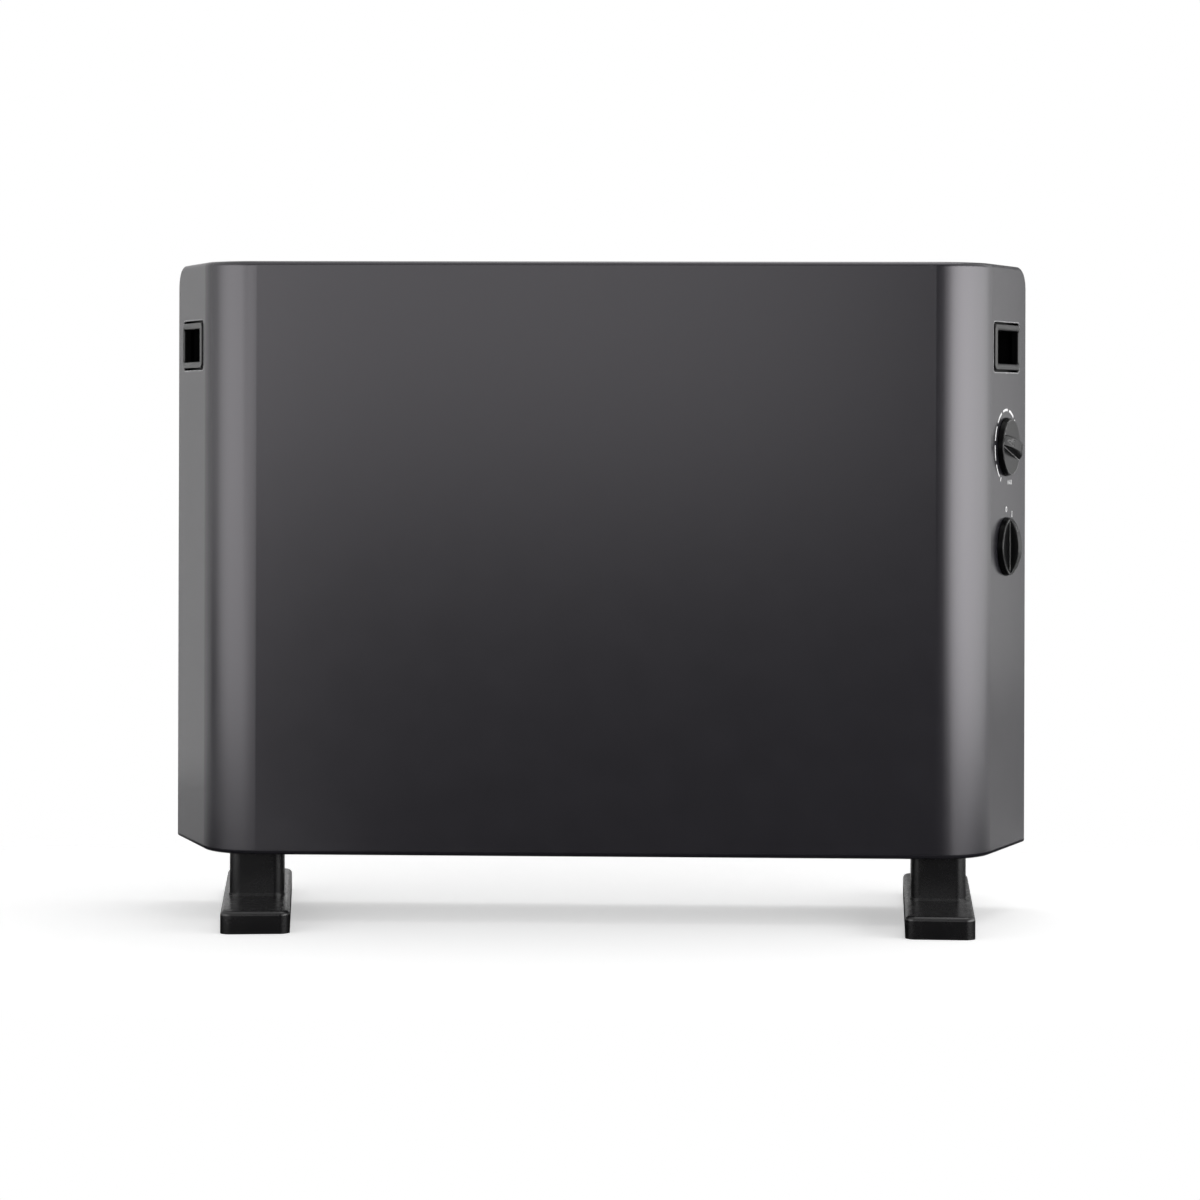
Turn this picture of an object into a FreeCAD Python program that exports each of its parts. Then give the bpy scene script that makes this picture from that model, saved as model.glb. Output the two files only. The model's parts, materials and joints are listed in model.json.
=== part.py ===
import FreeCAD, Part
import math
import os

from FreeCAD import Vector

# Convector heater, free standing. Millimetres, +Z up, the front faces -Y, +X is the viewer's right.
# The origin is on the floor, under the middle of the body.

# Body skin
BODY_WIDTH = 595.0          # across the rear edges, where the body is widest
BODY_DEPTH = 102.0          # front face to rear edges
BODY_HEIGHT = 402.0
FLOOR_GAP = 45.0            # floor to the lower edge of the body
SIDE_FLARE = 22.0           # degrees that each side opens towards the back
CORNER_RADIUS = 42.0        # front corners, outside
TOP_REAR_RADIUS = 15.0      # top rear corners of the sides, and the bend of the rear cover
SHEET = 0.8
RIM_BEND = 3.0              # outside radius where the rim turns in
TOP_RIM = 12.0              # width of the rim at the top and down the back
BOTTOM_RIM = 8.0
FIT = 0.4                   # clearance between pieces that slip into each other

# Slots of the air path
SLOT_WIDTH = 5.5
TOP_SLOT_LENGTH = 27.0
TOP_SLOT_PITCH = 14.0
TOP_SLOT_BRIDGE = 9.0       # steel left between the two rows
BACK_SLOT_LENGTH = 42.0
BACK_SLOT_PITCH = 16.0
BACK_SLOT_BRIDGE = 16.0
BACK_SLOT_RISE = 38.0       # lower edge of the body to the first row
BOTTOM_SLOT_LENGTH = 46.0
BOTTOM_SLOT_PITCH = 15.0
SLOT_MARGIN = 24.0          # unbroken sheet left at the ends of each row

# Controls on the right side, and the hand grips on both
CONTROL_SETBACK = 47.3      # rear edge to the line of the controls, along the side
GRIP_DROP = 56.5            # top of the body to the middle of the grips
THERMOSTAT_DROP = 125.0
SELECTOR_DROP = 193.5
GRIP_HOLE_LENGTH = 58.5
GRIP_HOLE_HEIGHT = 34.4
GRIP_HOLE_CORNER = 3.0
GRIP_GROOVE = 1.7           # dark gap between the cut-out and the frame
GRIP_GROOVE_DEPTH = 4.0
GRIP_PROUD = 1.0            # frame above the face of the side
GRIP_FRAME = 4.3            # width of the frame
GRIP_EDGE = 0.8             # rounding of its outer edge
GRIP_ROLL = 1.8             # rounding towards the mouth
GRIP_MOUTH_CORNER = 1.5
GRIP_MOUTH_SHIFT = 1.6      # middle of the mouth behind the middle of the cut-out
GRIP_LIP = 4.0              # face of the side to the wider pocket behind the mouth
GRIP_UNDERCUT = 3.0         # pocket beyond its mouth, on each side
GRIP_DEPTH = 28.0
GRIP_DRAFT = 1.2            # pocket narrows by this on each wall
GRIP_WALL = 2.0
GRIP_FLANGE = 4.5           # land behind the sheet, beyond the cut-out

KNOB_RADIUS = 20.2
KNOB_FACE_RADIUS = 19.4
KNOB_SKIRT = 3.5
KNOB_EDGE = 0.6
KNOB_GAP = 0.6              # knob to the side panel
KNOB_BAR_WIDTH = 8.5
KNOB_BAR_HEIGHT = 6.3
KNOB_BAR_EDGE = 1.2
KNOB_WALL = 2.0
KNOB_HUB_RADIUS = 5.5
KNOB_BORE_DEPTH = 8.0
ARROW_INSET = 2.4           # end of the bar to the tip of the sunk arrow
ARROW_LENGTH = 5.3
ARROW_HALF = 2.0            # half its width at the tail
ARROW_STROKE = 2.0          # along the bar
ARROW_DEPTH = 0.4
THERMOSTAT_TURN = 74.0      # degrees from upright towards the front, as it is set

SHAFT_RADIUS = 3.0
SHAFT_FLAT = 0.8            # depth of the flat that drives the knob
SHAFT_RUN = 0.05            # running clearance of the shafts
SHAFT_SEAT = 12.0           # length of shaft inside the control
SHAFT_HOLE_RADIUS = 5.5     # hole in the side panel, covered by the knob
NECK_RADIUS = 4.6
NECK_LENGTH = 8.0
NUT_WIDTH = 13.0            # across the flats
NUT_HEIGHT = 3.0
BRACKET_SHEET = 1.0
BRACKET_DEPTH = 16.0        # outer face of the side to the bracket
BRACKET_HALF = 22.0
BRACKET_LAND = 7.0          # strips that lie on the side panel
BRACKET_MARGIN = 34.0       # bracket beyond the axes of the controls
THERMOSTAT_WIDTH = 34.0
THERMOSTAT_HEIGHT = 40.0
THERMOSTAT_DEPTH = 22.0
THERMOSTAT_CORNER = 3.0
SELECTOR_RADIUS = 17.0
SELECTOR_DEPTH = 20.0
TAB_LENGTH = 8.0
TAB_WIDTH = 6.3
TAB_THICKNESS = 0.8
THERMOSTAT_TAB_SPACING = 16.0
SELECTOR_TAB_SPACING = 9.0
TAB_OFFSET = 8.0            # tabs above or below the axis of the control

# Heater and its supports
CONTROL_BAY = 89.5          # rear edge of the body to the baffle
BAFFLE_HEIGHT = 290.0
BAFFLE_GAP = 2.0            # baffle to the front and the back
FLANGE = 15.0               # foot of the baffle and of the bracket, rear edge of the bottom plate
ELEMENT_BRACKET_WIDTH = 56.0
ELEMENT_BRACKET_HEIGHT = 122.0
ELEMENT_RISE = 90.0         # bottom plate to the middle of the heater
ROD_SPACING = 26.0
ROD_RADIUS = 4.0
ROD_END = 15.0              # rod beyond its support
PIN_RADIUS = 2.0
PIN_LENGTH = 8.0
HUB_WIDTH = 14.0
HUB_HEIGHT = 44.0
HUB_CORNER = 6.0
FIN_WIDTH = 58.0
FIN_HEIGHT = 62.0
FIN_WAIST = 9.0             # depth of the notch in each edge of a fin
FIN_THICKNESS = 1.4
FIN_PITCH = 9.0
FIN_MARGIN = 14.0           # support to the end of the finned body
BUSH_RADIUS = 7.0
BUSH_FLANGE_RADIUS = 10.0
BUSH_FLANGE = 3.0
BUSH_TAIL = 2.0
LINK_WIDTH = 11.0
LINK_THICKNESS = 1.2
LINK_OVERHANG = 6.0
CUTOUT_RISE = 158.0         # bottom plate to the overheat cut-out
CUTOUT_RADIUS = 8.0
CUTOUT_CAP = 3.0            # sensing cap in the hot chamber
CUTOUT_BODY = 10.0
CUTOUT_EAR_WIDTH = 38.0
CUTOUT_EAR_HEIGHT = 14.0
CUTOUT_EAR = 1.5
CUTOUT_HOLE_SPACING = 28.0
CUTOUT_TAB_SPACING = 11.0
BLOCK_LENGTH = 44.0
BLOCK_HEIGHT = 22.0
BLOCK_DEPTH = 18.0
BLOCK_RISE = 28.0           # bottom plate to the underside of the terminal block
BLOCK_POLE_SPACING = 14.0
BLOCK_ENTRY_DEPTH = 6.0
INLET_SETBACK = 45.0        # cord inlet from the rear edge of the body, along the back
INLET_RISE = 40.0           # lower edge of the body to the cord inlet
INLET_NECK_RADIUS = 6.5
INLET_FLANGE_RADIUS = 9.5
INLET_FLANGE = 2.5
INLET_COLLAR_RADIUS = 7.8
INLET_COLLAR = 3.0
INLET_BORE_RADIUS = 4.0
GROMMET_RADIUS = 4.5
GROMMET_FLANGE_RADIUS = 6.5
GROMMET_FLANGE = 1.5
GROMMET_SETBACK = 17.0      # rear of the body to the grommet
GROMMET_RISE = 66.0
WIRE_RADIUS = 1.2
WIRE_BEND = 5.0             # radius along the middle of the wire
WIRE_REACH = 10.0           # straight lead in front of a terminal
WIRE_SLACK = 30.0           # height over which a wire nears the cut-out or leaves it
WIRE_CLEAR = 0.4            # wire in its holes

# Feet
FOOT_INSET = 64.5           # rear edge of the body to the middle of the foot
FOOT_LENGTH = 220.0
FOOT_WIDTH = 46.0
FOOT_HEIGHT = 15.0
FOOT_CORNER = 7.0
FOOT_EDGE = 3.0
FOOT_SPLAY = 4.6            # degrees that each rear end swings outward
FOOT_TWIST = 2.1            # degrees that both feet are turned from that, to the left at the rear
FOOT_WALL = 3.0
FOOT_RIB = 2.0
FOOT_RIB_PITCH = 26.0
FOOT_RIB_LIFT = 1.0         # ribs end above the floor
COLUMN_WIDTH = 37.0
COLUMN_DEPTH = 68.0
COLUMN_CORNER = 7.0
COLUMN_STEP = 0.6           # plinth at the foot of the column
COLUMN_STEP_HEIGHT = 1.2
COLUMN_ROOF = 5.0           # thickness at the top of the column

# Screws
SCREW_RADIUS = 1.6
SCREW_HEAD_RADIUS = 3.4
SCREW_HEAD = 2.2
SCREW_LENGTH = 8.0
BRACKET_SCREW_LENGTH = 6.0
SCREW_CLEAR = 0.2
RIM_SCREW_LOW = 40.0        # lower edge of the body to the first rim screw
RIM_SCREW_HIGH = 105.0      # top of the body to the last rim screw, below the grips
RIM_SCREWS = 3              # on each side of the back
PLATE_SCREWS = 4            # along the lower edge of the back
FOOT_SCREW_RADIUS = 2.0
FOOT_SCREW_HEAD_RADIUS = 4.0
FOOT_SCREW_HEAD = 2.6
FOOT_SCREW_TIP = 6.0        # beyond the bottom plate
FOOT_SCREW_SPACING = 40.0

# Derived positions
FLARE = math.radians(SIDE_FLARE)
SIN, COS, TAN = math.sin(FLARE), math.cos(FLARE), math.tan(FLARE)
HALF_WIDTH = BODY_WIDTH / 2 + RIM_BEND * (TAN + 1 / COS - 1)   # to the corner before its bend
FRONT = -BODY_DEPTH / 2
BACK = BODY_DEPTH / 2
TOP = FLOOR_GAP + BODY_HEIGHT
COVER_BACK = BACK - SHEET                   # outer face of the rear cover, on the inside of the rim
COVER_INSIDE = COVER_BACK - SHEET
COVER_INSET = RIM_BEND * (1 + SIN) + FIT    # keeps loose sheets out of the bend of the rim
DECK = TOP - SHEET                          # upper face of the slotted deck
PLATE_LOW = FLOOR_GAP + SHEET
PLATE_TOP = PLATE_LOW + SHEET
BEND_Y = FRONT + CORNER_RADIUS              # axis of the front corners
BEND_X = HALF_WIDTH - (BACK - BEND_Y) * TAN - CORNER_RADIUS / COS
GRIP_Z = TOP - GRIP_DROP
THERMOSTAT_Z = TOP - THERMOSTAT_DROP
SELECTOR_Z = TOP - SELECTOR_DROP
BRACKET_BACK = -BRACKET_DEPTH - BRACKET_SHEET
THERMOSTAT_BACK = BRACKET_BACK - THERMOSTAT_DEPTH
SELECTOR_BACK = BRACKET_BACK - SELECTOR_DEPTH
THERMOSTAT_TAB_Z = THERMOSTAT_Z - TAB_OFFSET
BAFFLE_X = HALF_WIDTH - CONTROL_BAY         # chamber side of the baffle
BAFFLE_FACE = BAFFLE_X + BRACKET_SHEET      # control side of the baffle
ELEMENT_Z = PLATE_TOP + ELEMENT_RISE
ROD_LEVELS = (ELEMENT_Z - ROD_SPACING / 2, ELEMENT_Z + ROD_SPACING / 2)
ROD_TIP = BAFFLE_FACE + ROD_END + PIN_LENGTH
CUTOUT_Z = PLATE_TOP + CUTOUT_RISE
CUTOUT_TIP = BAFFLE_FACE + CUTOUT_BODY + TAB_LENGTH
BLOCK_LOW = PLATE_TOP + BLOCK_RISE
BLOCK_TOP = BLOCK_LOW + BLOCK_HEIGHT
INLET_X = HALF_WIDTH - INLET_SETBACK
INLET_Z = FLOOR_GAP + INLET_RISE
GROMMET_Y = BACK - GROMMET_SETBACK
GROMMET_Z = PLATE_TOP + GROMMET_RISE
FOOT_X = HALF_WIDTH - FOOT_INSET

X_AXIS = Vector(1, 0, 0)
Y_AXIS = Vector(0, 1, 0)
Z_AXIS = Vector(0, 0, 1)

# Frame of the right side panel: x runs to the back along the panel, y is height above the floor,
# z points out of the panel, and the origin is on the line of the controls.
SIDE_FRAME = FreeCAD.Placement(FreeCAD.Matrix(
    SIN, 0, COS, HALF_WIDTH - CONTROL_SETBACK * SIN,
    COS, 0, -SIN, BACK - CONTROL_SETBACK * COS,
    0, 1, 0, 0,
    0, 0, 0, 1))


def side_point(x, y, z):
    return SIDE_FRAME.multVec(Vector(x, y, z))


def on_side(shape, height=0.0):
    """Shape made in the frame of the side panel, lifted to a height and put in its place."""
    lifted = shape.translated(Vector(0, height, 0))
    return lifted.transformed(SIDE_FRAME.toMatrix())


def mirrored(shape):
    return shape.mirror(Vector(0, 0, 0), X_AXIS)


def box(x0, x1, y0, y1, z0, z1):
    return Part.makeBox(x1 - x0, y1 - y0, z1 - z0, Vector(x0, y0, z0))


def rod(radius, start, length, axis=Z_AXIS):
    return Part.makeCylinder(radius, length, start, axis)


def prism(face, z0, z1):
    raised = face.translated(Vector(0, 0, z0))
    return raised.extrude(Vector(0, 0, z1 - z0))


def polygon(points):
    return Part.Face(Part.makePolygon(points + points[:1]))


def rounded_outline(width, height, radius, level=0.0):
    """Closed wire of a rectangle with round corners, parallel to XY and about the Z axis."""
    arcs = []
    for quarter, (sx, sy) in enumerate(((1, 1), (-1, 1), (-1, -1), (1, -1))):
        centre = Vector(sx * (width / 2 - radius), sy * (height / 2 - radius), level)
        start = quarter * math.pi / 2
        arcs.append(Part.Circle(centre, Z_AXIS, radius).toShape(start, start + math.pi / 2))
    edges = []
    for arc, after in zip(arcs, arcs[1:] + arcs[:1]):
        edges.append(arc)
        edges.append(Part.makeLine(arc.valueAt(arc.LastParameter), after.valueAt(after.FirstParameter)))
    return Part.Wire(edges)


def rounded_block(width, height, radius, z0, z1):
    return prism(Part.Face(rounded_outline(width, height, radius)), z0, z1)


def top_face(shape):
    return max(shape.Faces, key=lambda face: face.CenterOfMass.z)


def screw_hole(place, length, axis=Z_AXIS):
    return rod(SCREW_RADIUS + SCREW_CLEAR, place, length, axis)


def slot(x, y, width, length, z0, z1):
    """Punch with round ends, its length along Y."""
    half = (length - width) / 2
    right, left = x + width / 2, x - width / 2
    upper = Part.Arc(Vector(right, y + half, 0), Vector(x, y + length / 2, 0), Vector(left, y + half, 0))
    lower = Part.Arc(Vector(left, y - half, 0), Vector(x, y - length / 2, 0), Vector(right, y - half, 0))
    sides = [Part.makeLine(Vector(left, y + half, 0), Vector(left, y - half, 0)),
             Part.makeLine(Vector(right, y - half, 0), Vector(right, y + half, 0))]
    outline = Part.Wire([upper.toShape(), sides[0], lower.toShape(), sides[1]])
    return prism(Part.Face(outline), z0, z1)


def stations(half_span, pitch):
    """Even places at one pitch that fit between -half_span and half_span."""
    count = int(2 * half_span // pitch)
    return [(i - count / 2) * pitch for i in range(count + 1)]


def plan(inset, back):
    """Plan of the body moved inward by inset, closed by a straight line at y = back."""
    radius = CORNER_RADIUS - inset
    rear = HALF_WIDTH - (BACK - back) * TAN - inset / COS
    lean = -(math.pi / 2 + FLARE) / 2
    front = Vector(BEND_X, FRONT + inset, 0)
    middle = Vector(BEND_X + radius * math.cos(lean), BEND_Y + radius * math.sin(lean), 0)
    side = Vector(BEND_X + radius * COS, BEND_Y - radius * SIN, 0)
    corner = Vector(rear, back, 0)

    def left(point):
        return Vector(-point.x, point.y, 0)

    edges = [
        Part.makeLine(left(front), front),
        Part.Arc(front, middle, side).toShape(),
        Part.makeLine(side, corner),
        Part.makeLine(corner, left(corner)),
        Part.makeLine(left(corner), left(side)),
        Part.Arc(left(side), left(middle), left(front)).toShape(),
    ]
    return Part.Face(Part.Wire(edges))


def straight_edges(shape, axis, y=None, z=None):
    """Straight edges along one axis, at the given place."""
    found = []
    for edge in shape.Edges:
        chord = edge.Vertexes[-1].Point - edge.Vertexes[0].Point
        if chord.Length < 1e-6 or abs(abs(chord.normalize().dot(axis)) - 1) > 1e-6:
            continue
        middle = edge.CenterOfMass
        if (y is None or abs(middle.y - y) < 1e-4) and (z is None or abs(middle.z - z) < 1e-4):
            found.append(edge)
    return found


def body_volume(inset):
    """The closed body moved inward by inset, with its rolled top rear edge and the bend of the rim."""
    front, back = FRONT + inset, BACK - inset
    low, high = FLOOR_GAP + inset, TOP - inset
    solid = prism(plan(inset, back), low, high)
    solid = solid.makeFillet(TOP_REAR_RADIUS - inset, straight_edges(solid, X_AXIS, back, high))
    flat = straight_edges(solid, X_AXIS)
    smooth = straight_edges(solid, Z_AXIS)
    keep = straight_edges(solid, X_AXIS, front) + straight_edges(solid, Z_AXIS, back)

    def listed(edge, edges):
        return any(edge.isSame(other) for other in edges)

    bends = [e for e in solid.Edges if listed(e, keep) or not listed(e, flat + smooth)]
    return solid.makeFillet(RIM_BEND - inset, bends)


def rim_screw_places():
    """Heights of the screws down each rear edge, and their distance from the middle."""
    low, high = FLOOR_GAP + RIM_SCREW_LOW, TOP - RIM_SCREW_HIGH
    step = (high - low) / (RIM_SCREWS - 1)
    middle = (TOP_RIM + COVER_INSET) / 2
    return HALF_WIDTH - middle / COS, [low + i * step for i in range(RIM_SCREWS)]


def plate_screw_places():
    span = FOOT_X - FOOT_WIDTH
    step = 2 * span / (PLATE_SCREWS - 1)
    return [-span + i * step for i in range(PLATE_SCREWS)], PLATE_TOP + FLANGE / 2


def column_outline(grow=0.0):
    return rounded_outline(COLUMN_WIDTH + 2 * grow, COLUMN_DEPTH + 2 * grow, COLUMN_CORNER + grow)


def place_foot(shape, side):
    """Shape made about the middle of a foot, put in its place: side is 1 on the right and -1 on the left."""
    turned = shape.copy()
    turned.rotate(Vector(0, 0, 0), Z_AXIS, FOOT_TWIST - side * FOOT_SPLAY)
    return turned.translated(Vector(side * FOOT_X, 0, 0))


def front_shell():
    shell = body_volume(0.0).cut(body_volume(SHEET))
    clear = TOP_RIM
    upper = prism(plan(TOP_RIM, BACK + clear), PLATE_TOP, TOP + clear)
    lower = prism(plan(BOTTOM_RIM, BACK + clear), FLOOR_GAP - clear, PLATE_TOP)
    tools = [upper, lower]
    window = rounded_block(GRIP_HOLE_LENGTH, GRIP_HOLE_HEIGHT, GRIP_HOLE_CORNER, -2 * SHEET, SHEET)
    window = on_side(window, GRIP_Z)
    tools += [window, mirrored(window)]
    for height in (THERMOSTAT_Z, SELECTOR_Z):
        tools.append(on_side(rod(SHAFT_HOLE_RADIUS, Vector(0, 0, -2 * SHEET), 3 * SHEET), height))
    x, heights = rim_screw_places()
    for z in heights:
        for side in (-x, x):
            tools.append(screw_hole(Vector(side, BACK - 2 * SHEET, z), 3 * SHEET, Y_AXIS))
    notch = prism(Part.Face(column_outline(FIT)), FLOOR_GAP - SHEET, PLATE_LOW)
    tools += [place_foot(notch, side) for side in (-1, 1)]
    return shell.cut(tools)


def rear_cover():
    """Back wall rolled over at the top into the slotted deck, one sheet."""
    outer = prism(plan(COVER_INSET, COVER_BACK), PLATE_LOW, DECK)
    outer = outer.makeFillet(TOP_REAR_RADIUS - SHEET, straight_edges(outer, X_AXIS, COVER_BACK, DECK))
    inner = box(-BODY_WIDTH, BODY_WIDTH, -BODY_WIDTH, COVER_INSIDE, 0, DECK - SHEET)
    inner_edge = straight_edges(inner, X_AXIS, COVER_INSIDE, DECK - SHEET)
    cover = outer.cut(inner.makeFillet(TOP_REAR_RADIUS - 2 * SHEET, inner_edge))

    tools = []
    offset = (TOP_SLOT_LENGTH + TOP_SLOT_BRIDGE) / 2
    centre = (FRONT + TOP_RIM + COVER_BACK - TOP_REAR_RADIUS) / 2
    for x in stations(BEND_X - SLOT_MARGIN, TOP_SLOT_PITCH):
        for y in (centre - offset, centre + offset):
            tools.append(slot(x, y, SLOT_WIDTH, TOP_SLOT_LENGTH, DECK - 2 * SHEET, TOP))
    first = FLOOR_GAP + BACK_SLOT_RISE + BACK_SLOT_LENGTH / 2
    for x in stations(BAFFLE_X - SLOT_MARGIN, BACK_SLOT_PITCH):
        for z in (first, first + BACK_SLOT_LENGTH + BACK_SLOT_BRIDGE):
            punch = slot(0, 0, SLOT_WIDTH, BACK_SLOT_LENGTH, 0, 3 * SHEET)
            punch.rotate(Vector(0, 0, 0), X_AXIS, 90)
            tools.append(punch.translated(Vector(x, BACK, z)))
    x, heights = rim_screw_places()
    places = [(side, z) for z in heights for side in (-x, x)]
    spots, level = plate_screw_places()
    places += [(spot, level) for spot in spots]
    for spot, z in places:
        tools.append(screw_hole(Vector(spot, BACK - 3 * SHEET, z), 3 * SHEET, Y_AXIS))
    tools.append(rod(INLET_NECK_RADIUS, Vector(INLET_X, BACK - 3 * SHEET, INLET_Z), 3 * SHEET, Y_AXIS))
    return cover.cut(tools)


def bottom_plate():
    """Slotted floor that lies on the lower rim, with its rear edge turned up against the cover."""
    plate = prism(plan(COVER_INSET, COVER_INSIDE), PLATE_LOW, PLATE_TOP)
    reach = FOOT_X
    edge = box(-reach, reach, COVER_INSIDE - SHEET, COVER_INSIDE, PLATE_TOP, PLATE_TOP + FLANGE)
    tools = []
    for x in stations(FOOT_X - FOOT_WIDTH / 2 - SLOT_MARGIN, BOTTOM_SLOT_PITCH):
        tools.append(slot(x, 0, SLOT_WIDTH, BOTTOM_SLOT_LENGTH, PLATE_LOW - SHEET, PLATE_TOP + SHEET))
    tools.append(foot_screws(FOOT_SCREW_RADIUS + SCREW_CLEAR, 0))
    spots, level = plate_screw_places()
    for x in spots:
        tools.append(screw_hole(Vector(x, COVER_INSIDE - 2 * SHEET, level), 3 * SHEET, Y_AXIS))
    for x, y in flange_screw_places():
        tools.append(screw_hole(Vector(x, y, PLATE_LOW - SHEET), 3 * SHEET))
    return plate.fuse(edge).removeSplitter().cut(tools)


def hand_grip():
    """Right grip in the frame of the side panel: rolled frame, groove round it, pocket behind its mouth."""
    sill = -SHEET - GRIP_GROOVE_DEPTH
    back = sill - GRIP_WALL
    floor = -SHEET - GRIP_DEPTH
    land = rounded_block(GRIP_HOLE_LENGTH + 2 * GRIP_FLANGE, GRIP_HOLE_HEIGHT + 2 * GRIP_FLANGE,
                         GRIP_HOLE_CORNER + GRIP_FLANGE, back, -SHEET)
    groove = rounded_block(GRIP_HOLE_LENGTH + GRIP_GROOVE, GRIP_HOLE_HEIGHT + GRIP_GROOVE,
                           GRIP_HOLE_CORNER + GRIP_GROOVE / 2, sill, 0)
    frame_length = GRIP_HOLE_LENGTH - 2 * GRIP_GROOVE
    frame_height = GRIP_HOLE_HEIGHT - 2 * GRIP_GROOVE
    mouth_length = frame_length - 2 * GRIP_FRAME
    mouth_height = frame_height - 2 * GRIP_FRAME

    def section(grow, level):
        """Outline of the mouth made larger all round."""
        length, height = mouth_length + 2 * grow, mouth_height + 2 * grow
        outline = rounded_outline(length, height, GRIP_MOUTH_CORNER + grow, level)
        return outline.translated(Vector(GRIP_MOUTH_SHIFT, 0, 0))

    frame = rounded_block(frame_length, frame_height, GRIP_HOLE_CORNER, back, GRIP_PROUD)
    frame = frame.makeFillet(GRIP_EDGE, top_face(frame).Edges)
    mouth = prism(Part.Face(section(0, 0)), back, GRIP_PROUD)
    frame = frame.cut(mouth)
    flat = top_face(frame)
    mouth_edges = [e for wire in flat.Wires if not wire.isSame(flat.OuterWire) for e in wire.Edges]
    frame = frame.makeFillet(GRIP_ROLL, mouth_edges)

    shoulder = -GRIP_LIP - GRIP_UNDERCUT
    slope = Part.makeLoft([section(0, -GRIP_LIP), section(GRIP_UNDERCUT, shoulder)], True, True)
    narrow = GRIP_UNDERCUT - GRIP_DRAFT
    pocket = Part.makeLoft([section(GRIP_UNDERCUT, shoulder), section(narrow, floor)], True, True)
    cup = Part.makeLoft([section(GRIP_UNDERCUT + GRIP_WALL, sill),
                         section(narrow + GRIP_WALL, floor - GRIP_WALL)], True, True)
    return land.cut(groove).fuse([frame, cup]).removeSplitter().cut([mouth, slope, pocket])


def drive_shaft(low, high):
    """Control shaft about the Z axis, with a flat at its outer end."""
    shaft = rod(SHAFT_RADIUS, Vector(0, 0, low), high - low)
    flat = box(-SHAFT_RADIUS, SHAFT_RADIUS, SHAFT_RADIUS - SHAFT_FLAT, SHAFT_RADIUS, KNOB_GAP, high)
    return shaft.cut(flat)


def knob():
    """Knob about the Z axis with its arrow towards +Y: hollow skirt, arched grip bar, keyed hub."""
    face = KNOB_GAP + KNOB_SKIRT
    crown = face + KNOB_BAR_HEIGHT
    root = face - KNOB_WALL
    reach = KNOB_FACE_RADIUS - KNOB_EDGE
    outline = [(0, KNOB_GAP), (KNOB_RADIUS, KNOB_GAP), (KNOB_FACE_RADIUS, face - KNOB_EDGE),
               (reach, face), (0, face)]
    skirt = polygon([Vector(x, 0, z) for x, z in outline]).revolve(Vector(0, 0, 0), Z_AXIS, 360)

    arch = Part.Wire([
        Part.Arc(Vector(0, -reach, face), Vector(0, 0, crown), Vector(0, reach, face)).toShape(),
        Part.makeLine(Vector(0, reach, face), Vector(0, reach, root)),
        Part.makeLine(Vector(0, reach, root), Vector(0, -reach, root)),
        Part.makeLine(Vector(0, -reach, root), Vector(0, -reach, face))])
    bar = Part.Face(arch).extrude(Vector(KNOB_BAR_WIDTH, 0, 0))
    bar = bar.translated(Vector(-KNOB_BAR_WIDTH / 2, 0, 0))
    skin = bar.cut(bar.translated(Vector(0, 0, -ARROW_DEPTH)))
    bar = bar.makeFillet(KNOB_BAR_EDGE, [e for e in bar.Edges if e.Curve.TypeId == "Part::GeomCircle"])

    tip = reach - ARROW_INSET
    tail = tip - ARROW_LENGTH
    barb = tail - ARROW_STROKE
    outline = [(0, tip), (ARROW_HALF, tail), (ARROW_HALF, barb), (0, tip - ARROW_STROKE),
               (-ARROW_HALF, barb), (-ARROW_HALF, tail)]
    arrow = skin.common(prism(polygon([Vector(x, y, 0) for x, y in outline]), face, crown))

    hollow = rod(KNOB_FACE_RADIUS - KNOB_WALL, Vector(0, 0, KNOB_GAP), KNOB_SKIRT - KNOB_WALL)
    hollow = hollow.cut(rod(KNOB_HUB_RADIUS, Vector(0, 0, KNOB_GAP), KNOB_SKIRT))
    bore = drive_shaft(0, KNOB_GAP + KNOB_BORE_DEPTH)
    return skirt.fuse(bar).cut([arrow, hollow, bore])


def tab(x, y, back):
    """Terminal tab that points into the body from the back of a control."""
    return box(x - TAB_WIDTH / 2, x + TAB_WIDTH / 2, y - TAB_THICKNESS / 2, y + TAB_THICKNESS / 2,
               back - TAB_LENGTH, back)


def with_neck(case, tabs):
    """Case of a control with its neck through the bracket and the running bore of the shaft."""
    neck = rod(NECK_RADIUS, Vector(0, 0, BRACKET_BACK), NECK_LENGTH + BRACKET_SHEET)
    bore = rod(SHAFT_RADIUS + SHAFT_RUN, Vector(0, 0, BRACKET_BACK - SHAFT_SEAT), SHAFT_SEAT + BRACKET_DEPTH)
    return case.fuse([neck] + tabs).removeSplitter().cut(bore)


def thermostat_body():
    outline = rounded_outline(THERMOSTAT_WIDTH, THERMOSTAT_HEIGHT, THERMOSTAT_CORNER)
    case = prism(Part.Face(outline), THERMOSTAT_BACK, BRACKET_BACK)
    tabs = [tab(side * THERMOSTAT_TAB_SPACING / 2, -TAB_OFFSET, THERMOSTAT_BACK) for side in (-1, 1)]
    return with_neck(case, tabs)


def selector_body():
    case = rod(SELECTOR_RADIUS, Vector(0, 0, SELECTOR_BACK), SELECTOR_DEPTH)
    tabs = [tab(-SELECTOR_TAB_SPACING, -TAB_OFFSET, SELECTOR_BACK), tab(0, -TAB_OFFSET, SELECTOR_BACK),
            tab(SELECTOR_TAB_SPACING, TAB_OFFSET, SELECTOR_BACK)]
    return with_neck(case, tabs)


def control_shaft():
    return drive_shaft(BRACKET_BACK - SHAFT_SEAT + FIT, KNOB_GAP + KNOB_BORE_DEPTH)


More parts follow.
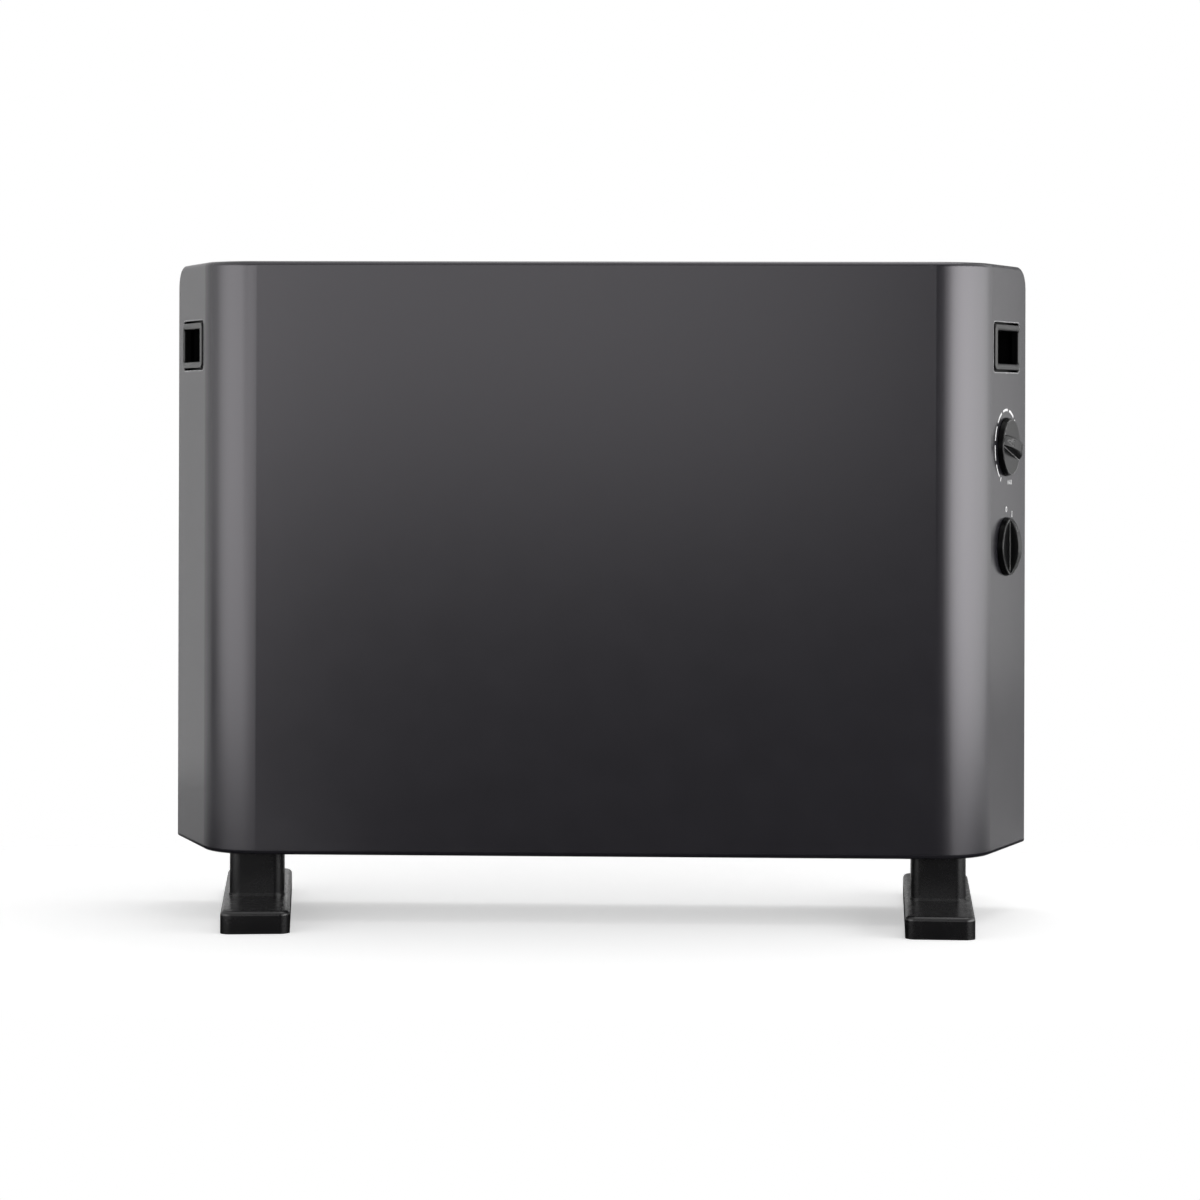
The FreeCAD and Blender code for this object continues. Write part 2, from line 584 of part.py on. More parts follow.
def control_nut():
    corner = NUT_WIDTH / 2 / math.cos(math.pi / 6)
    turns = [i * math.pi / 3 for i in range(6)]
    points = [Vector(corner * math.cos(turn), corner * math.sin(turn), 0) for turn in turns]
    nut = prism(polygon(points), -BRACKET_DEPTH, -BRACKET_DEPTH + NUT_HEIGHT)
    return nut.cut(rod(NECK_RADIUS, Vector(0, 0, -BRACKET_DEPTH), NUT_HEIGHT))


def control_bracket():
    """Hat section along the height of the side, its two lands on the inside of the panel."""
    half, wall, rear = BRACKET_HALF, BRACKET_SHEET, -BRACKET_DEPTH
    seat, land = -SHEET, BRACKET_HALF + BRACKET_LAND
    profile = [(-land, seat), (-half, seat), (-half, rear), (half, rear), (half, seat), (land, seat),
               (land, seat - wall), (half + wall, seat - wall), (half + wall, rear - wall),
               (-half - wall, rear - wall), (-half - wall, seat - wall), (-land, seat - wall)]
    low, high = SELECTOR_Z - BRACKET_MARGIN, THERMOSTAT_Z + BRACKET_MARGIN
    hat = polygon([Vector(x, low, z) for x, z in profile]).extrude(Vector(0, high - low, 0))
    holes = [rod(NECK_RADIUS, Vector(0, y, rear - 2 * wall), 3 * wall) for y in (SELECTOR_Z, THERMOSTAT_Z)]
    return hat.cut(holes)


def flange_screw_places():
    """Two screws in the foot of each support, in plan."""
    x = BAFFLE_X - FLANGE / 2
    y = ELEMENT_BRACKET_WIDTH / 4
    return [(side * x, place) for side in (-1, 1) for place in (-y, y)]


def support_plate(front, back, height):
    """Right-hand support: upright sheet with a foot towards the chamber and holes for the two bushes."""
    upright = box(BAFFLE_X, BAFFLE_FACE, front, back, PLATE_TOP, PLATE_TOP + height)
    foot = box(BAFFLE_X - FLANGE, BAFFLE_X, front, back, PLATE_TOP, PLATE_TOP + BRACKET_SHEET)
    through = 3 * BRACKET_SHEET
    holes = [rod(BUSH_RADIUS, Vector(BAFFLE_X - BRACKET_SHEET, 0, z), through, X_AXIS) for z in ROD_LEVELS]
    for x, y in flange_screw_places():
        holes.append(screw_hole(Vector(x, y, PLATE_TOP - BRACKET_SHEET), through))
    return upright.fuse(foot).removeSplitter().cut(holes)


def control_baffle():
    wall = support_plate(FRONT + SHEET + BAFFLE_GAP, COVER_INSIDE - SHEET - BAFFLE_GAP, BAFFLE_HEIGHT)
    start = BAFFLE_X - BRACKET_SHEET
    through = 3 * BRACKET_SHEET
    holes = [rod(CUTOUT_RADIUS, Vector(start, 0, CUTOUT_Z), through, X_AXIS),
             rod(GROMMET_RADIUS, Vector(start, GROMMET_Y, GROMMET_Z), through, X_AXIS)]
    for side in (-1, 1):
        place = Vector(start, side * CUTOUT_HOLE_SPACING / 2, CUTOUT_Z)
        holes.append(screw_hole(place, through, X_AXIS))
    return wall.cut(holes)


def element_bracket():
    half = ELEMENT_BRACKET_WIDTH / 2
    return mirrored(support_plate(-half, half, ELEMENT_BRACKET_HEIGHT))


def heating_element():
    """Hub along X with a row of waisted fins and the bores of both rods."""
    half = BAFFLE_X - FIN_MARGIN
    hub = rounded_block(HUB_HEIGHT, HUB_WIDTH, HUB_CORNER, -half, half)
    hub.rotate(Vector(0, 0, 0), Y_AXIS, 90)
    w, h = FIN_WIDTH / 2, FIN_HEIGHT / 2
    outline = [(-w, -h), (0, -h + FIN_WAIST), (w, -h), (w - FIN_WAIST, 0),
               (w, h), (0, h - FIN_WAIST), (-w, h), (-w + FIN_WAIST, 0)]
    face = polygon([Vector(-FIN_THICKNESS / 2, y, z) for y, z in outline])
    fin = face.extrude(Vector(FIN_THICKNESS, 0, 0))
    fins = [fin.translated(Vector(x, 0, 0)) for x in stations(half - FIN_PITCH / 2, FIN_PITCH)]
    bores = [rod(ROD_RADIUS, Vector(-half, 0, side * ROD_SPACING / 2), 2 * half, X_AXIS) for side in (-1, 1)]
    return hub.fuse(fins).cut(bores).translated(Vector(0, 0, ELEMENT_Z))


def heater_rods():
    rods = []
    reach = BAFFLE_FACE + ROD_END
    for z in ROD_LEVELS:
        sheath = rod(ROD_RADIUS, Vector(-reach, 0, z), 2 * reach, X_AXIS)
        pins = rod(PIN_RADIUS, Vector(-ROD_TIP, 0, z), 2 * ROD_TIP, X_AXIS)
        rods.append(sheath.fuse(pins).removeSplitter())
    return Part.makeCompound(rods)


def element_bushes():
    bushes = []
    length = BUSH_TAIL + BRACKET_SHEET
    for z in ROD_LEVELS:
        start = Vector(BAFFLE_X - BUSH_TAIL, 0, z)
        tail = rod(BUSH_RADIUS, start, length, X_AXIS)
        flange = rod(BUSH_FLANGE_RADIUS, Vector(BAFFLE_FACE, 0, z), BUSH_FLANGE, X_AXIS)
        hole = rod(ROD_RADIUS, start, length + BUSH_FLANGE, X_AXIS)
        bush = tail.fuse(flange).cut(hole)
        bushes += [bush, mirrored(bush)]
    return Part.makeCompound(bushes)


def element_link():
    half = ROD_SPACING / 2 + LINK_OVERHANG
    strip = box(-ROD_TIP - LINK_THICKNESS, -ROD_TIP, -LINK_WIDTH / 2, LINK_WIDTH / 2, -half, half)
    return strip.translated(Vector(0, 0, ELEMENT_Z))


def thermal_cutout():
    start = BAFFLE_X - CUTOUT_CAP
    case = rod(CUTOUT_RADIUS, Vector(start, 0, CUTOUT_Z), CUTOUT_CAP + BRACKET_SHEET + CUTOUT_BODY, X_AXIS)
    ears = box(BAFFLE_FACE, BAFFLE_FACE + CUTOUT_EAR, -CUTOUT_EAR_WIDTH / 2, CUTOUT_EAR_WIDTH / 2,
               CUTOUT_Z - CUTOUT_EAR_HEIGHT / 2, CUTOUT_Z + CUTOUT_EAR_HEIGHT / 2)
    pieces = [ears]
    holes = []
    for side in (-1, 1):
        y = side * CUTOUT_TAB_SPACING / 2
        pieces.append(box(BAFFLE_FACE + CUTOUT_BODY, CUTOUT_TIP, y - TAB_THICKNESS / 2, y + TAB_THICKNESS / 2,
                          CUTOUT_Z - TAB_WIDTH / 2, CUTOUT_Z + TAB_WIDTH / 2))
        place = Vector(BAFFLE_FACE, side * CUTOUT_HOLE_SPACING / 2, CUTOUT_Z)
        holes.append(screw_hole(place, CUTOUT_EAR, X_AXIS))
    return case.fuse(pieces).removeSplitter().cut(holes)


def block_entry(pole):
    """Middle of a wire entry in the top of the terminal block."""
    return Vector(BAFFLE_FACE + BLOCK_DEPTH / 2, pole * BLOCK_POLE_SPACING, BLOCK_TOP)


def terminal_block():
    half = BLOCK_LENGTH / 2
    block = box(BAFFLE_FACE, BAFFLE_FACE + BLOCK_DEPTH, -half, half, BLOCK_LOW, BLOCK_TOP)
    entries = []
    for pole in (-1, 0, 1):
        start = block_entry(pole) - Vector(0, 0, BLOCK_ENTRY_DEPTH)
        entries.append(rod(WIRE_RADIUS + WIRE_CLEAR, start, BLOCK_ENTRY_DEPTH))
    return block.cut(entries)


def cord_bushing():
    """Inlet of the supply cord in the back wall, snapped into its hole."""
    start = Vector(INLET_X, COVER_INSIDE - INLET_COLLAR, INLET_Z)
    flange = rod(INLET_FLANGE_RADIUS, Vector(INLET_X, COVER_BACK, INLET_Z), INLET_FLANGE, Y_AXIS)
    neck = rod(INLET_NECK_RADIUS, Vector(INLET_X, COVER_INSIDE, INLET_Z), SHEET, Y_AXIS)
    collar = rod(INLET_COLLAR_RADIUS, start, INLET_COLLAR, Y_AXIS)
    hole = rod(INLET_BORE_RADIUS, start, INLET_COLLAR + SHEET + INLET_FLANGE, Y_AXIS)
    return flange.fuse([neck, collar]).cut(hole)


def baffle_grommet():
    start = BAFFLE_X - GROMMET_FLANGE
    length = BRACKET_SHEET + 2 * GROMMET_FLANGE
    ring = rod(GROMMET_FLANGE_RADIUS, Vector(start, GROMMET_Y, GROMMET_Z), length, X_AXIS)
    waist = rod(GROMMET_FLANGE_RADIUS, Vector(BAFFLE_X, GROMMET_Y, GROMMET_Z), BRACKET_SHEET, X_AXIS)
    waist = waist.cut(rod(GROMMET_RADIUS, Vector(BAFFLE_X, GROMMET_Y, GROMMET_Z), BRACKET_SHEET, X_AXIS))
    hole = rod(WIRE_RADIUS + WIRE_CLEAR, Vector(start, GROMMET_Y, GROMMET_Z), length, X_AXIS)
    return ring.cut([waist, hole])


def wire(points):
    """Insulated wire through the points, straight runs joined by arcs of one radius."""
    edges = []
    start = points[0]
    for before, corner, after in zip(points, points[1:], points[2:]):
        a = (before - corner).normalize()
        b = (after - corner).normalize()
        half_angle = a.getAngle(b) / 2
        reach = WIRE_BEND / math.tan(half_angle)
        centre = corner + (a + b).normalize() * (WIRE_BEND / math.sin(half_angle))
        middle = centre + (corner - centre).normalize() * WIRE_BEND
        edges.append(Part.makeLine(start, corner + a * reach))
        edges.append(Part.Arc(corner + a * reach, middle, corner + b * reach).toShape())
        start = corner + b * reach
    edges.append(Part.makeLine(start, points[-1]))
    path = Part.Wire(edges)
    circle = Part.Circle(points[0], points[1] - points[0], WIRE_RADIUS).toShape()
    return path.makePipe(Part.Face(Part.Wire(circle)))


def wiring():
    """Wires between the terminal block, the cut-out, the controls and the rods."""
    lead = Vector(WIRE_REACH, 0, 0)

    def entry(pole):
        return block_entry(pole) - Vector(0, 0, BLOCK_ENTRY_DEPTH)

    def control_tab(x, y, back):
        """Tip of a tab, and the place one lead behind it."""
        tip = back - TAB_LENGTH
        return side_point(x, y, tip), side_point(x, y, tip - WIRE_REACH)

    cutout_in = Vector(CUTOUT_TIP, -CUTOUT_TAB_SPACING / 2, CUTOUT_Z)
    cutout_out = Vector(CUTOUT_TIP, CUTOUT_TAB_SPACING / 2, CUTOUT_Z)
    low_rod, high_rod = (Vector(ROD_TIP, 0, z) for z in ROD_LEVELS)
    half = THERMOSTAT_TAB_SPACING / 2
    warm_in, warm_in_back = control_tab(-half, THERMOSTAT_TAB_Z, THERMOSTAT_BACK)
    warm_out, warm_out_back = control_tab(half, THERMOSTAT_TAB_Z, THERMOSTAT_BACK)
    feed, feed_back = control_tab(SELECTOR_TAB_SPACING, SELECTOR_Z + TAB_OFFSET, SELECTOR_BACK)
    step_one, step_one_back = control_tab(-SELECTOR_TAB_SPACING, SELECTOR_Z - TAB_OFFSET, SELECTOR_BACK)
    step_two, step_two_back = control_tab(0, SELECTOR_Z - TAB_OFFSET, SELECTOR_BACK)

    def level(point, z):
        return Vector(point.x, point.y, z)

    riser = level(entry(-1), BLOCK_TOP + WIRE_REACH)
    climb = Vector(warm_in_back.x, cutout_out.y, CUTOUT_Z + WIRE_SLACK)
    neutral_out = Vector(entry(1).x, entry(1).y, GROMMET_Z)
    grommet_out = Vector(BAFFLE_FACE + WIRE_REACH, GROMMET_Y, GROMMET_Z)
    left_turn = Vector(-ROD_TIP - LINK_THICKNESS - WIRE_REACH, GROMMET_Y, GROMMET_Z)
    link = Vector(-ROD_TIP - LINK_THICKNESS, 0, ELEMENT_Z)
    routes = [
        [entry(-1), riser, level(riser, CUTOUT_Z - WIRE_SLACK) + lead, cutout_in + lead, cutout_in],
        [cutout_out, cutout_out + lead, climb, level(climb, THERMOSTAT_TAB_Z), warm_in_back, warm_in],
        [warm_out, warm_out_back, feed_back, feed],
        [step_one, step_one_back, level(step_one_back, high_rod.z), high_rod + lead, high_rod],
        [step_two, step_two_back, level(step_two_back, low_rod.z), low_rod + lead, low_rod],
        [entry(1), neutral_out, grommet_out, left_turn, link - lead, link],
    ]
    return Part.makeCompound([wire(route) for route in routes])


def foot():
    """Foot about its own middle: hollow base with ribs, hollow column, small plinth between them."""
    base = rounded_block(FOOT_WIDTH, FOOT_LENGTH, FOOT_CORNER, 0, FOOT_HEIGHT)
    base = base.makeFillet(FOOT_EDGE, top_face(base).Edges)
    plinth = prism(Part.Face(column_outline(COLUMN_STEP)), FOOT_HEIGHT, FOOT_HEIGHT + COLUMN_STEP_HEIGHT)
    column = prism(Part.Face(column_outline()), FOOT_HEIGHT, PLATE_LOW)
    solid = base.fuse([plinth, column]).removeSplitter()
    ceiling = FOOT_HEIGHT - FOOT_WALL
    width, length = FOOT_WIDTH - 2 * FOOT_WALL, FOOT_LENGTH - 2 * FOOT_WALL
    tray = rounded_block(width, length, FOOT_CORNER - FOOT_WALL, 0, ceiling)
    shaft = prism(Part.Face(column_outline(-FOOT_WALL)), 0, PLATE_LOW - COLUMN_ROOF)
    solid = solid.cut(tray.fuse(shaft))
    ribs = []
    for y in stations(FOOT_LENGTH / 2 - FOOT_RIB_PITCH / 2, FOOT_RIB_PITCH):
        if abs(y) > COLUMN_DEPTH / 2:
            rib = box(-width / 2, width / 2, y - FOOT_RIB / 2, y + FOOT_RIB / 2, FOOT_RIB_LIFT, ceiling)
            ribs.append(rib)
    spots = [Vector(0, side * FOOT_SCREW_SPACING / 2, 0) for side in (-1, 1)]
    holes = [rod(FOOT_SCREW_RADIUS + SCREW_CLEAR, spot, PLATE_LOW) for spot in spots]
    return solid.fuse(ribs).cut(holes)


def foot_screws(radius, head):
    """The screws of both feet in place, or the holes they need when head is 0."""
    screws = []
    seat = PLATE_LOW - COLUMN_ROOF
    for end in (-1, 1):
        y = end * FOOT_SCREW_SPACING / 2
        screw = rod(radius, Vector(0, y, seat), COLUMN_ROOF + SHEET + FOOT_SCREW_TIP)
        if head:
            screw = screw.fuse(rod(FOOT_SCREW_HEAD_RADIUS, Vector(0, y, seat - head), head)).removeSplitter()
        screws += [place_foot(screw, side) for side in (-1, 1)]
    return Part.makeCompound(screws)


def sheet_screw(place, axis, length):
    """Screw whose head sits on a sheet at place and points out along axis."""
    head = rod(SCREW_HEAD_RADIUS, place, SCREW_HEAD, axis)
    return head.fuse(rod(SCREW_RADIUS, place, length, axis * -1))


def cover_screws():
    x, heights = rim_screw_places()
    places = [Vector(side, BACK, z) for z in heights for side in (-x, x)]
    spots, level = plate_screw_places()
    places += [Vector(spot, COVER_BACK, level) for spot in spots]
    return Part.makeCompound([sheet_screw(place, Y_AXIS, SCREW_LENGTH) for place in places])


def bracket_screws():
    screws = []
    for x, y in flange_screw_places():
        screws.append(sheet_screw(Vector(x, y, PLATE_TOP + BRACKET_SHEET), Z_AXIS, BRACKET_SCREW_LENGTH))
    for side in (-1, 1):
        place = Vector(BAFFLE_FACE + CUTOUT_EAR, side * CUTOUT_HOLE_SPACING / 2, CUTOUT_Z)
        screws.append(sheet_screw(place, X_AXIS, BRACKET_SCREW_LENGTH))
    return Part.makeCompound(screws)


def nodes():
    grip = on_side(hand_grip(), GRIP_Z)
    turned_knob = knob()
    turned_knob.rotate(Vector(0, 0, 0), Z_AXIS, THERMOSTAT_TURN)
    turned_shaft = control_shaft()
    turned_shaft.rotate(Vector(0, 0, 0), Z_AXIS, THERMOSTAT_TURN)
    return {
        "front_shell": front_shell(),
        "rear_cover": rear_cover(),
        "bottom_plate": bottom_plate(),
        "grip_right": grip,
        "grip_left": mirrored(grip),
        "thermostat_knob": on_side(turned_knob, THERMOSTAT_Z),
        "thermostat_shaft": on_side(turned_shaft, THERMOSTAT_Z),
        "thermostat_body": on_side(thermostat_body(), THERMOSTAT_Z),
        "selector_knob": on_side(knob(), SELECTOR_Z),
        "selector_shaft": on_side(control_shaft(), SELECTOR_Z),
        "selector_body": on_side(selector_body(), SELECTOR_Z),
        "control_nuts": Part.makeCompound([on_side(control_nut(), z) for z in (THERMOSTAT_Z, SELECTOR_Z)]),
        "control_bracket": on_side(control_bracket()),
        "control_baffle": control_baffle(),
        "element_bracket": element_bracket(),
        "heating_element": heating_element(),
        "heater_rods": heater_rods(),
        "element_bushes": element_bushes(),
        "element_link": element_link(),
        "thermal_cutout": thermal_cutout(),
        "terminal_block": terminal_block(),
        "cord_bushing": cord_bushing(),
        "baffle_grommet": baffle_grommet(),
        "wiring": wiring(),
        "foot_right": place_foot(foot(), 1),
        "foot_left": place_foot(foot(), -1),
        "foot_screws": foot_screws(FOOT_SCREW_RADIUS, FOOT_SCREW_HEAD),
        "cover_screws": cover_screws(),
        "bracket_screws": bracket_screws(),
    }


os.makedirs("parts", exist_ok=True)
for name, shape in nodes().items():
    shape.exportStep("parts/" + name + ".step")
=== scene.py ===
import json
import math

import bmesh
import bpy
from bpy.props import FloatProperty, FloatVectorProperty, IntProperty, PointerProperty
from mathutils import Matrix, Vector


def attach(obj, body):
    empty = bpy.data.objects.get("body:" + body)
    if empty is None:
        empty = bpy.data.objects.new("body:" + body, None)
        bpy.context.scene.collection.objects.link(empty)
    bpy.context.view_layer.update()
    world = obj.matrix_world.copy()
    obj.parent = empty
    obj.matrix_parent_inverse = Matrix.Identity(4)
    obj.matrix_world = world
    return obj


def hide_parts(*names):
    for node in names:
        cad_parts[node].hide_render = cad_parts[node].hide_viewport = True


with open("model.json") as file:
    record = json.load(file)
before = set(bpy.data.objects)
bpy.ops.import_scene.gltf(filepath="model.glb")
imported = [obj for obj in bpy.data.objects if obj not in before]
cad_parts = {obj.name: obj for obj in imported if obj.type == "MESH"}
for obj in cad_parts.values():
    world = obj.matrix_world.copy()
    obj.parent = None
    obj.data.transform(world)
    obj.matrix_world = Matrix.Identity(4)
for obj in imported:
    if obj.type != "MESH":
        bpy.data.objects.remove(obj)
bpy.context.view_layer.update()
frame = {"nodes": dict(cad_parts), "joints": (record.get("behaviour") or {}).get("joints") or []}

bl_info = {
    "name": "Convector heater looks",
    "version": (1, 0, 0),
    "blender": (4, 5, 0),
    "location": "View3D > Sidebar > Heater",
    "description": "Finishes, printed scales, screws and studio of a free-standing convector heater",
    "category": "Object",
}

# Distances are in metres, +Z is up, the front faces -Y and +X is the viewer's right.
UP = Vector((0, 0, 1))


def length(name, description, default):
    return FloatProperty(name=name, description=description, default=default, min=0.0, precision=5,
                         subtype="DISTANCE", unit="LENGTH")


def angle(name, description, degrees):
    return FloatProperty(name=name, description=description, default=math.radians(degrees),
                         subtype="ANGLE", unit="ROTATION")


def number(name, description, default):
    return FloatProperty(name=name, description=description, default=default)


def share(name, description, default, least=0.0, most=1.0):
    return FloatProperty(name=name, description=description, default=default, min=least, max=most,
                         subtype="FACTOR")


def shade(name, description, default):
    return FloatVectorProperty(name=name, description=description, default=default, min=0.0, max=1.0,
                               precision=4, subtype="COLOR")


class HeaterFinishSettings(bpy.types.PropertyGroup):
    paint_roughness: share("Paint roughness", "Satin of the powder coat", 0.23)
    paint_gloss: share("Paint gloss", "Strength of the reflections of the powder coat", 0.81)
    # the lighter line along sharp edges is partly rubbed paint, partly a painted highlight
    rub_and_highlight_width: length("Edge rub", "Width of the lighter line along sharp edges", 0.0016)
    shell_dark: shade("Shell, dark", "Darker tone of the shell's powder coat", (0.0103, 0.0098, 0.0126))
    shell_light: shade("Shell, light", "Lighter tone of the shell's powder coat", (0.0129, 0.0124, 0.0156))
    cover_dark: shade("Cover, dark", "Darker tone of the cover's powder coat", (0.0194, 0.0194, 0.0202))
    cover_light: shade("Cover, light", "Lighter tone of the cover's powder coat", (0.0290, 0.0290, 0.0306))
    grip_dark: shade("Grips, dark", "Darker tone of the grips", (0.0026, 0.0026, 0.0027))
    grip_light: shade("Grips, light", "Lighter tone of the grips", (0.0045, 0.0045, 0.0048))
    knob_dark: shade("Knobs, dark", "Darker tone of the knobs", (0.0023, 0.0023, 0.0024))
    knob_light: shade("Knobs, light", "Lighter tone of the knobs", (0.0039, 0.0039, 0.0042))
    foot_dark: shade("Feet, dark", "Darker tone of the feet", (0.0026, 0.0024, 0.0029))
    foot_light: shade("Feet, light", "Lighter tone of the feet", (0.0042, 0.0039, 0.0045))
    ink_dark: shade("Ink, dark", "Darker tone of the printed marks", (0.72, 0.72, 0.72))
    ink_light: shade("Ink, light", "Lighter tone of the printed marks", (0.86, 0.86, 0.86))


class HeaterScaleSettings(bpy.types.PropertyGroup):
    dashes: IntProperty(name="Dashes", description="Dashes of the thermostat scale", default=9, min=1)
    pitch: angle("Pitch", "Angle from one dash to the next", 31.0)
    span: angle("Dash", "Angle that each dash covers", 24.0)
    first: angle("First dash", "Middle of the first dash, clockwise from the top", -130.0)
    radius: length("Radius", "Radius of the scale round the shaft", 0.0255)
    thin: length("Thin end", "Width of the print at the cold end", 0.0011)
    thick: length("Thick end", "Width of the print at the warm end", 0.0021)
    tick: angle("Cold end", "Tick at the lower stop, clockwise from the top", -150.0)
    word: angle("Warm end", "Place of the word at the upper stop, clockwise from the top", 163.0)
    letter: length("Letter height", "Height of printed letters and figures", 0.0030)
    stroke: length("Stroke", "Width of printed strokes", 0.0006)
    film: length("Film", "Thickness of the printed ink", 0.00006)


class HeaterSelectorSettings(bpy.types.PropertyGroup):
    radius: length("Radius", "Radius of the figures round the shaft", 0.0256)
    step: angle("Step", "Angle between two positions", 30.0)
    height: length("Figure height", "Height of the printed figures", 0.0040)
    stroke: length("Stroke", "Width of the printed strokes", 0.0008)
    film: length("Film", "Thickness of the printed ink", 0.00006)


class HeaterScrewSettings(bpy.types.PropertyGroup):
    pitch: length("Thread pitch", "Rise of the thread in one turn", 0.0013)
    depth: length("Thread depth", "Height of the thread above its root", 0.00035)
    recess: share("Recess", "Length of the cross recess as a share of the head", 0.62, 0.1, 0.9)


class HeaterStageSettings(bpy.types.PropertyGroup):
    camera: FloatVectorProperty(name="Camera", description="Place of the camera",
                                default=(0.0882, -2.410, 0.3486), subtype="XYZ", unit="LENGTH")
    yaw: angle("Yaw", "Turn of the camera to the left", 2.06)
    roll: angle("Roll", "Turn of the camera about its own line of sight", 0.16)
    lens: number("Lens", "Focal length on a 36 mm sensor", 105.0)
    drop: number("Frame drop", "Share of the frame that the view is moved down", 0.1607)
    fill: number("Fill", "Level of the light from all round", 0.31)
    key: number("Right softbox", "Brightness of the softbox on the right", 5.5)
    side: number("Left softbox", "Brightness of the softbox on the left", 2.36)
    front: number("Front softbox", "Brightness of the softbox behind the camera", 1.49)
    top: number("Top softbox", "Brightness of the softbox overhead", 2.17)


# Shader groups that several finishes share

FINE_SHARE = 0.4             # share of the fine grain in the tone, beside the broad one
BROAD_GRAIN = 24.0           # size of the broad grain over that of the fine one
NOISE_SPREAD = (0.3, 0.7)    # values between which most of a noise lies
RUB_AND_HIGHLIGHT_BEND = (0.03, 0.25)      # how far a normal is bent where the rub and painted highlight begin and where they are full
RUB_AND_HIGHLIGHT_PATCHES = 180.0          # scale of the patches that break the rub and painted highlight up
RUB_AND_HIGHLIGHT_LEAST = 0.3              # what is left of the rub and painted highlight between its patches
FACING = (0.45, 0.9)         # cosine to the panel's normal where a face begins to count and counts in full
ABOVE = (0.0, 0.0004)        # height above the panel where a surface begins to count and counts in full


def shader_group(name, inputs, outputs):
    """New shader group with float sockets, and its two end nodes."""
    tree = bpy.data.node_groups.new(name, "ShaderNodeTree")
    for label, value in inputs:
        socket = tree.interface.new_socket(label, in_out="INPUT", socket_type="NodeSocketFloat")
        socket.default_value = value
    for label in outputs:
        tree.interface.new_socket(label, in_out="OUTPUT", socket_type="NodeSocketFloat")
    return tree, tree.nodes.new("NodeGroupInput"), tree.nodes.new("NodeGroupOutput")


def feed(tree, socket, value):
    """Give a socket the result of another node, or a fixed value."""
    if isinstance(value, bpy.types.NodeSocket):
        tree.links.new(value, socket)
    else:
        socket.default_value = value


def math_node(tree, operation, first, second=0.0):
    node = tree.nodes.new("ShaderNodeMath")
    node.operation = operation
    feed(tree, node.inputs[0], first)
    feed(tree, node.inputs[1], second)
    return node.outputs["Value"]


def vector_node(tree, operation, first, second):
    node = tree.nodes.new("ShaderNodeVectorMath")
    node.operation = operation
    tree.links.new(first, node.inputs[0])
    tree.links.new(second, node.inputs[1])
    return node.outputs


def noise_node(tree, vector, scale, detail):
    node = tree.nodes.new("ShaderNodeTexNoise")
    node.inputs["Detail"].default_value = detail
    tree.links.new(vector, node.inputs["Vector"])
    feed(tree, node.inputs["Scale"], scale)
    return node.outputs["Fac"]


def smooth_step(tree, value, low, high):
    """Soft rise from nought at the low value to one at the high value."""
    node = tree.nodes.new("ShaderNodeMapRange")
    node.interpolation_type = "SMOOTHSTEP"
    node.inputs["From Min"].default_value = low
    node.inputs["From Max"].default_value = high
    tree.links.new(value, node.inputs["Value"])
    return node.outputs["Result"]


def object_place(tree):
    return tree.nodes.new("ShaderNodeTexCoord").outputs["Object"]


def grain_group():
    """Irregular grain of paint and mouldings: a tone and a height from the size of the grain."""
    tree, start, end = shader_group("Surface Grain", [("Size", 0.001)], ["Tone", "Height"])
    place = object_place(tree)
    fine = noise_node(tree, place, math_node(tree, "DIVIDE", 1.0, start.outputs["Size"]), 2.0)
    broad_size = math_node(tree, "MULTIPLY", start.outputs["Size"], BROAD_GRAIN)
    broad = noise_node(tree, place, math_node(tree, "DIVIDE", 1.0, broad_size), 3.0)
    mixed = math_node(tree, "ADD", math_node(tree, "MULTIPLY", fine, FINE_SHARE),
                      math_node(tree, "MULTIPLY", broad, 1.0 - FINE_SHARE))
    tree.links.new(mixed, end.inputs["Tone"])
    tree.links.new(fine, end.inputs["Height"])
    return tree


def brushed_group():
    """Drawn or turned metal: grain stretched along X by the given factor."""
    tree, start, end = shader_group("Drawn Lines", [("Size", 0.0004), ("Stretch", 30.0)], ["Tone", "Height"])
    squeeze = tree.nodes.new("ShaderNodeCombineXYZ")
    tree.links.new(math_node(tree, "DIVIDE", 1.0, start.outputs["Stretch"]), squeeze.inputs["X"])
    squeeze.inputs["Y"].default_value = 1.0
    squeeze.inputs["Z"].default_value = 1.0
    drawn = vector_node(tree, "MULTIPLY", object_place(tree), squeeze.outputs["Vector"])["Vector"]
    lines = noise_node(tree, drawn, math_node(tree, "DIVIDE", 1.0, start.outputs["Size"]), 3.0)
    tree.links.new(lines, end.inputs["Tone"])
    tree.links.new(lines, end.inputs["Height"])
    return tree


def rub_and_highlight_group():
    """Mask of sharp edges for rubbed paint and a painted highlight, broken up a little, from how far a
    rounded normal leaves the real one.
    """
    tree, start, end = shader_group("Edge Rub And Highlight", [("Width", 0.0005), ("Amount", 1.0)], ["Mask"])
    bevel = tree.nodes.new("ShaderNodeBevel")
    tree.links.new(start.outputs["Width"], bevel.inputs["Radius"])
    real = tree.nodes.new("ShaderNodeNewGeometry").outputs["Normal"]
    likeness = vector_node(tree, "DOT_PRODUCT", bevel.outputs["Normal"], real)["Value"]
    sharp = smooth_step(tree, math_node(tree, "SUBTRACT", 1.0, likeness), *RUB_AND_HIGHLIGHT_BEND)
    patches = noise_node(tree, object_place(tree), RUB_AND_HIGHLIGHT_PATCHES, 2.0)
    worn_and_lit = math_node(tree, "MULTIPLY", sharp, math_node(tree, "ADD", patches, RUB_AND_HIGHLIGHT_LEAST))
    tree.links.new(math_node(tree, "MULTIPLY", worn_and_lit, start.outputs["Amount"]), end.inputs["Mask"])
    return tree


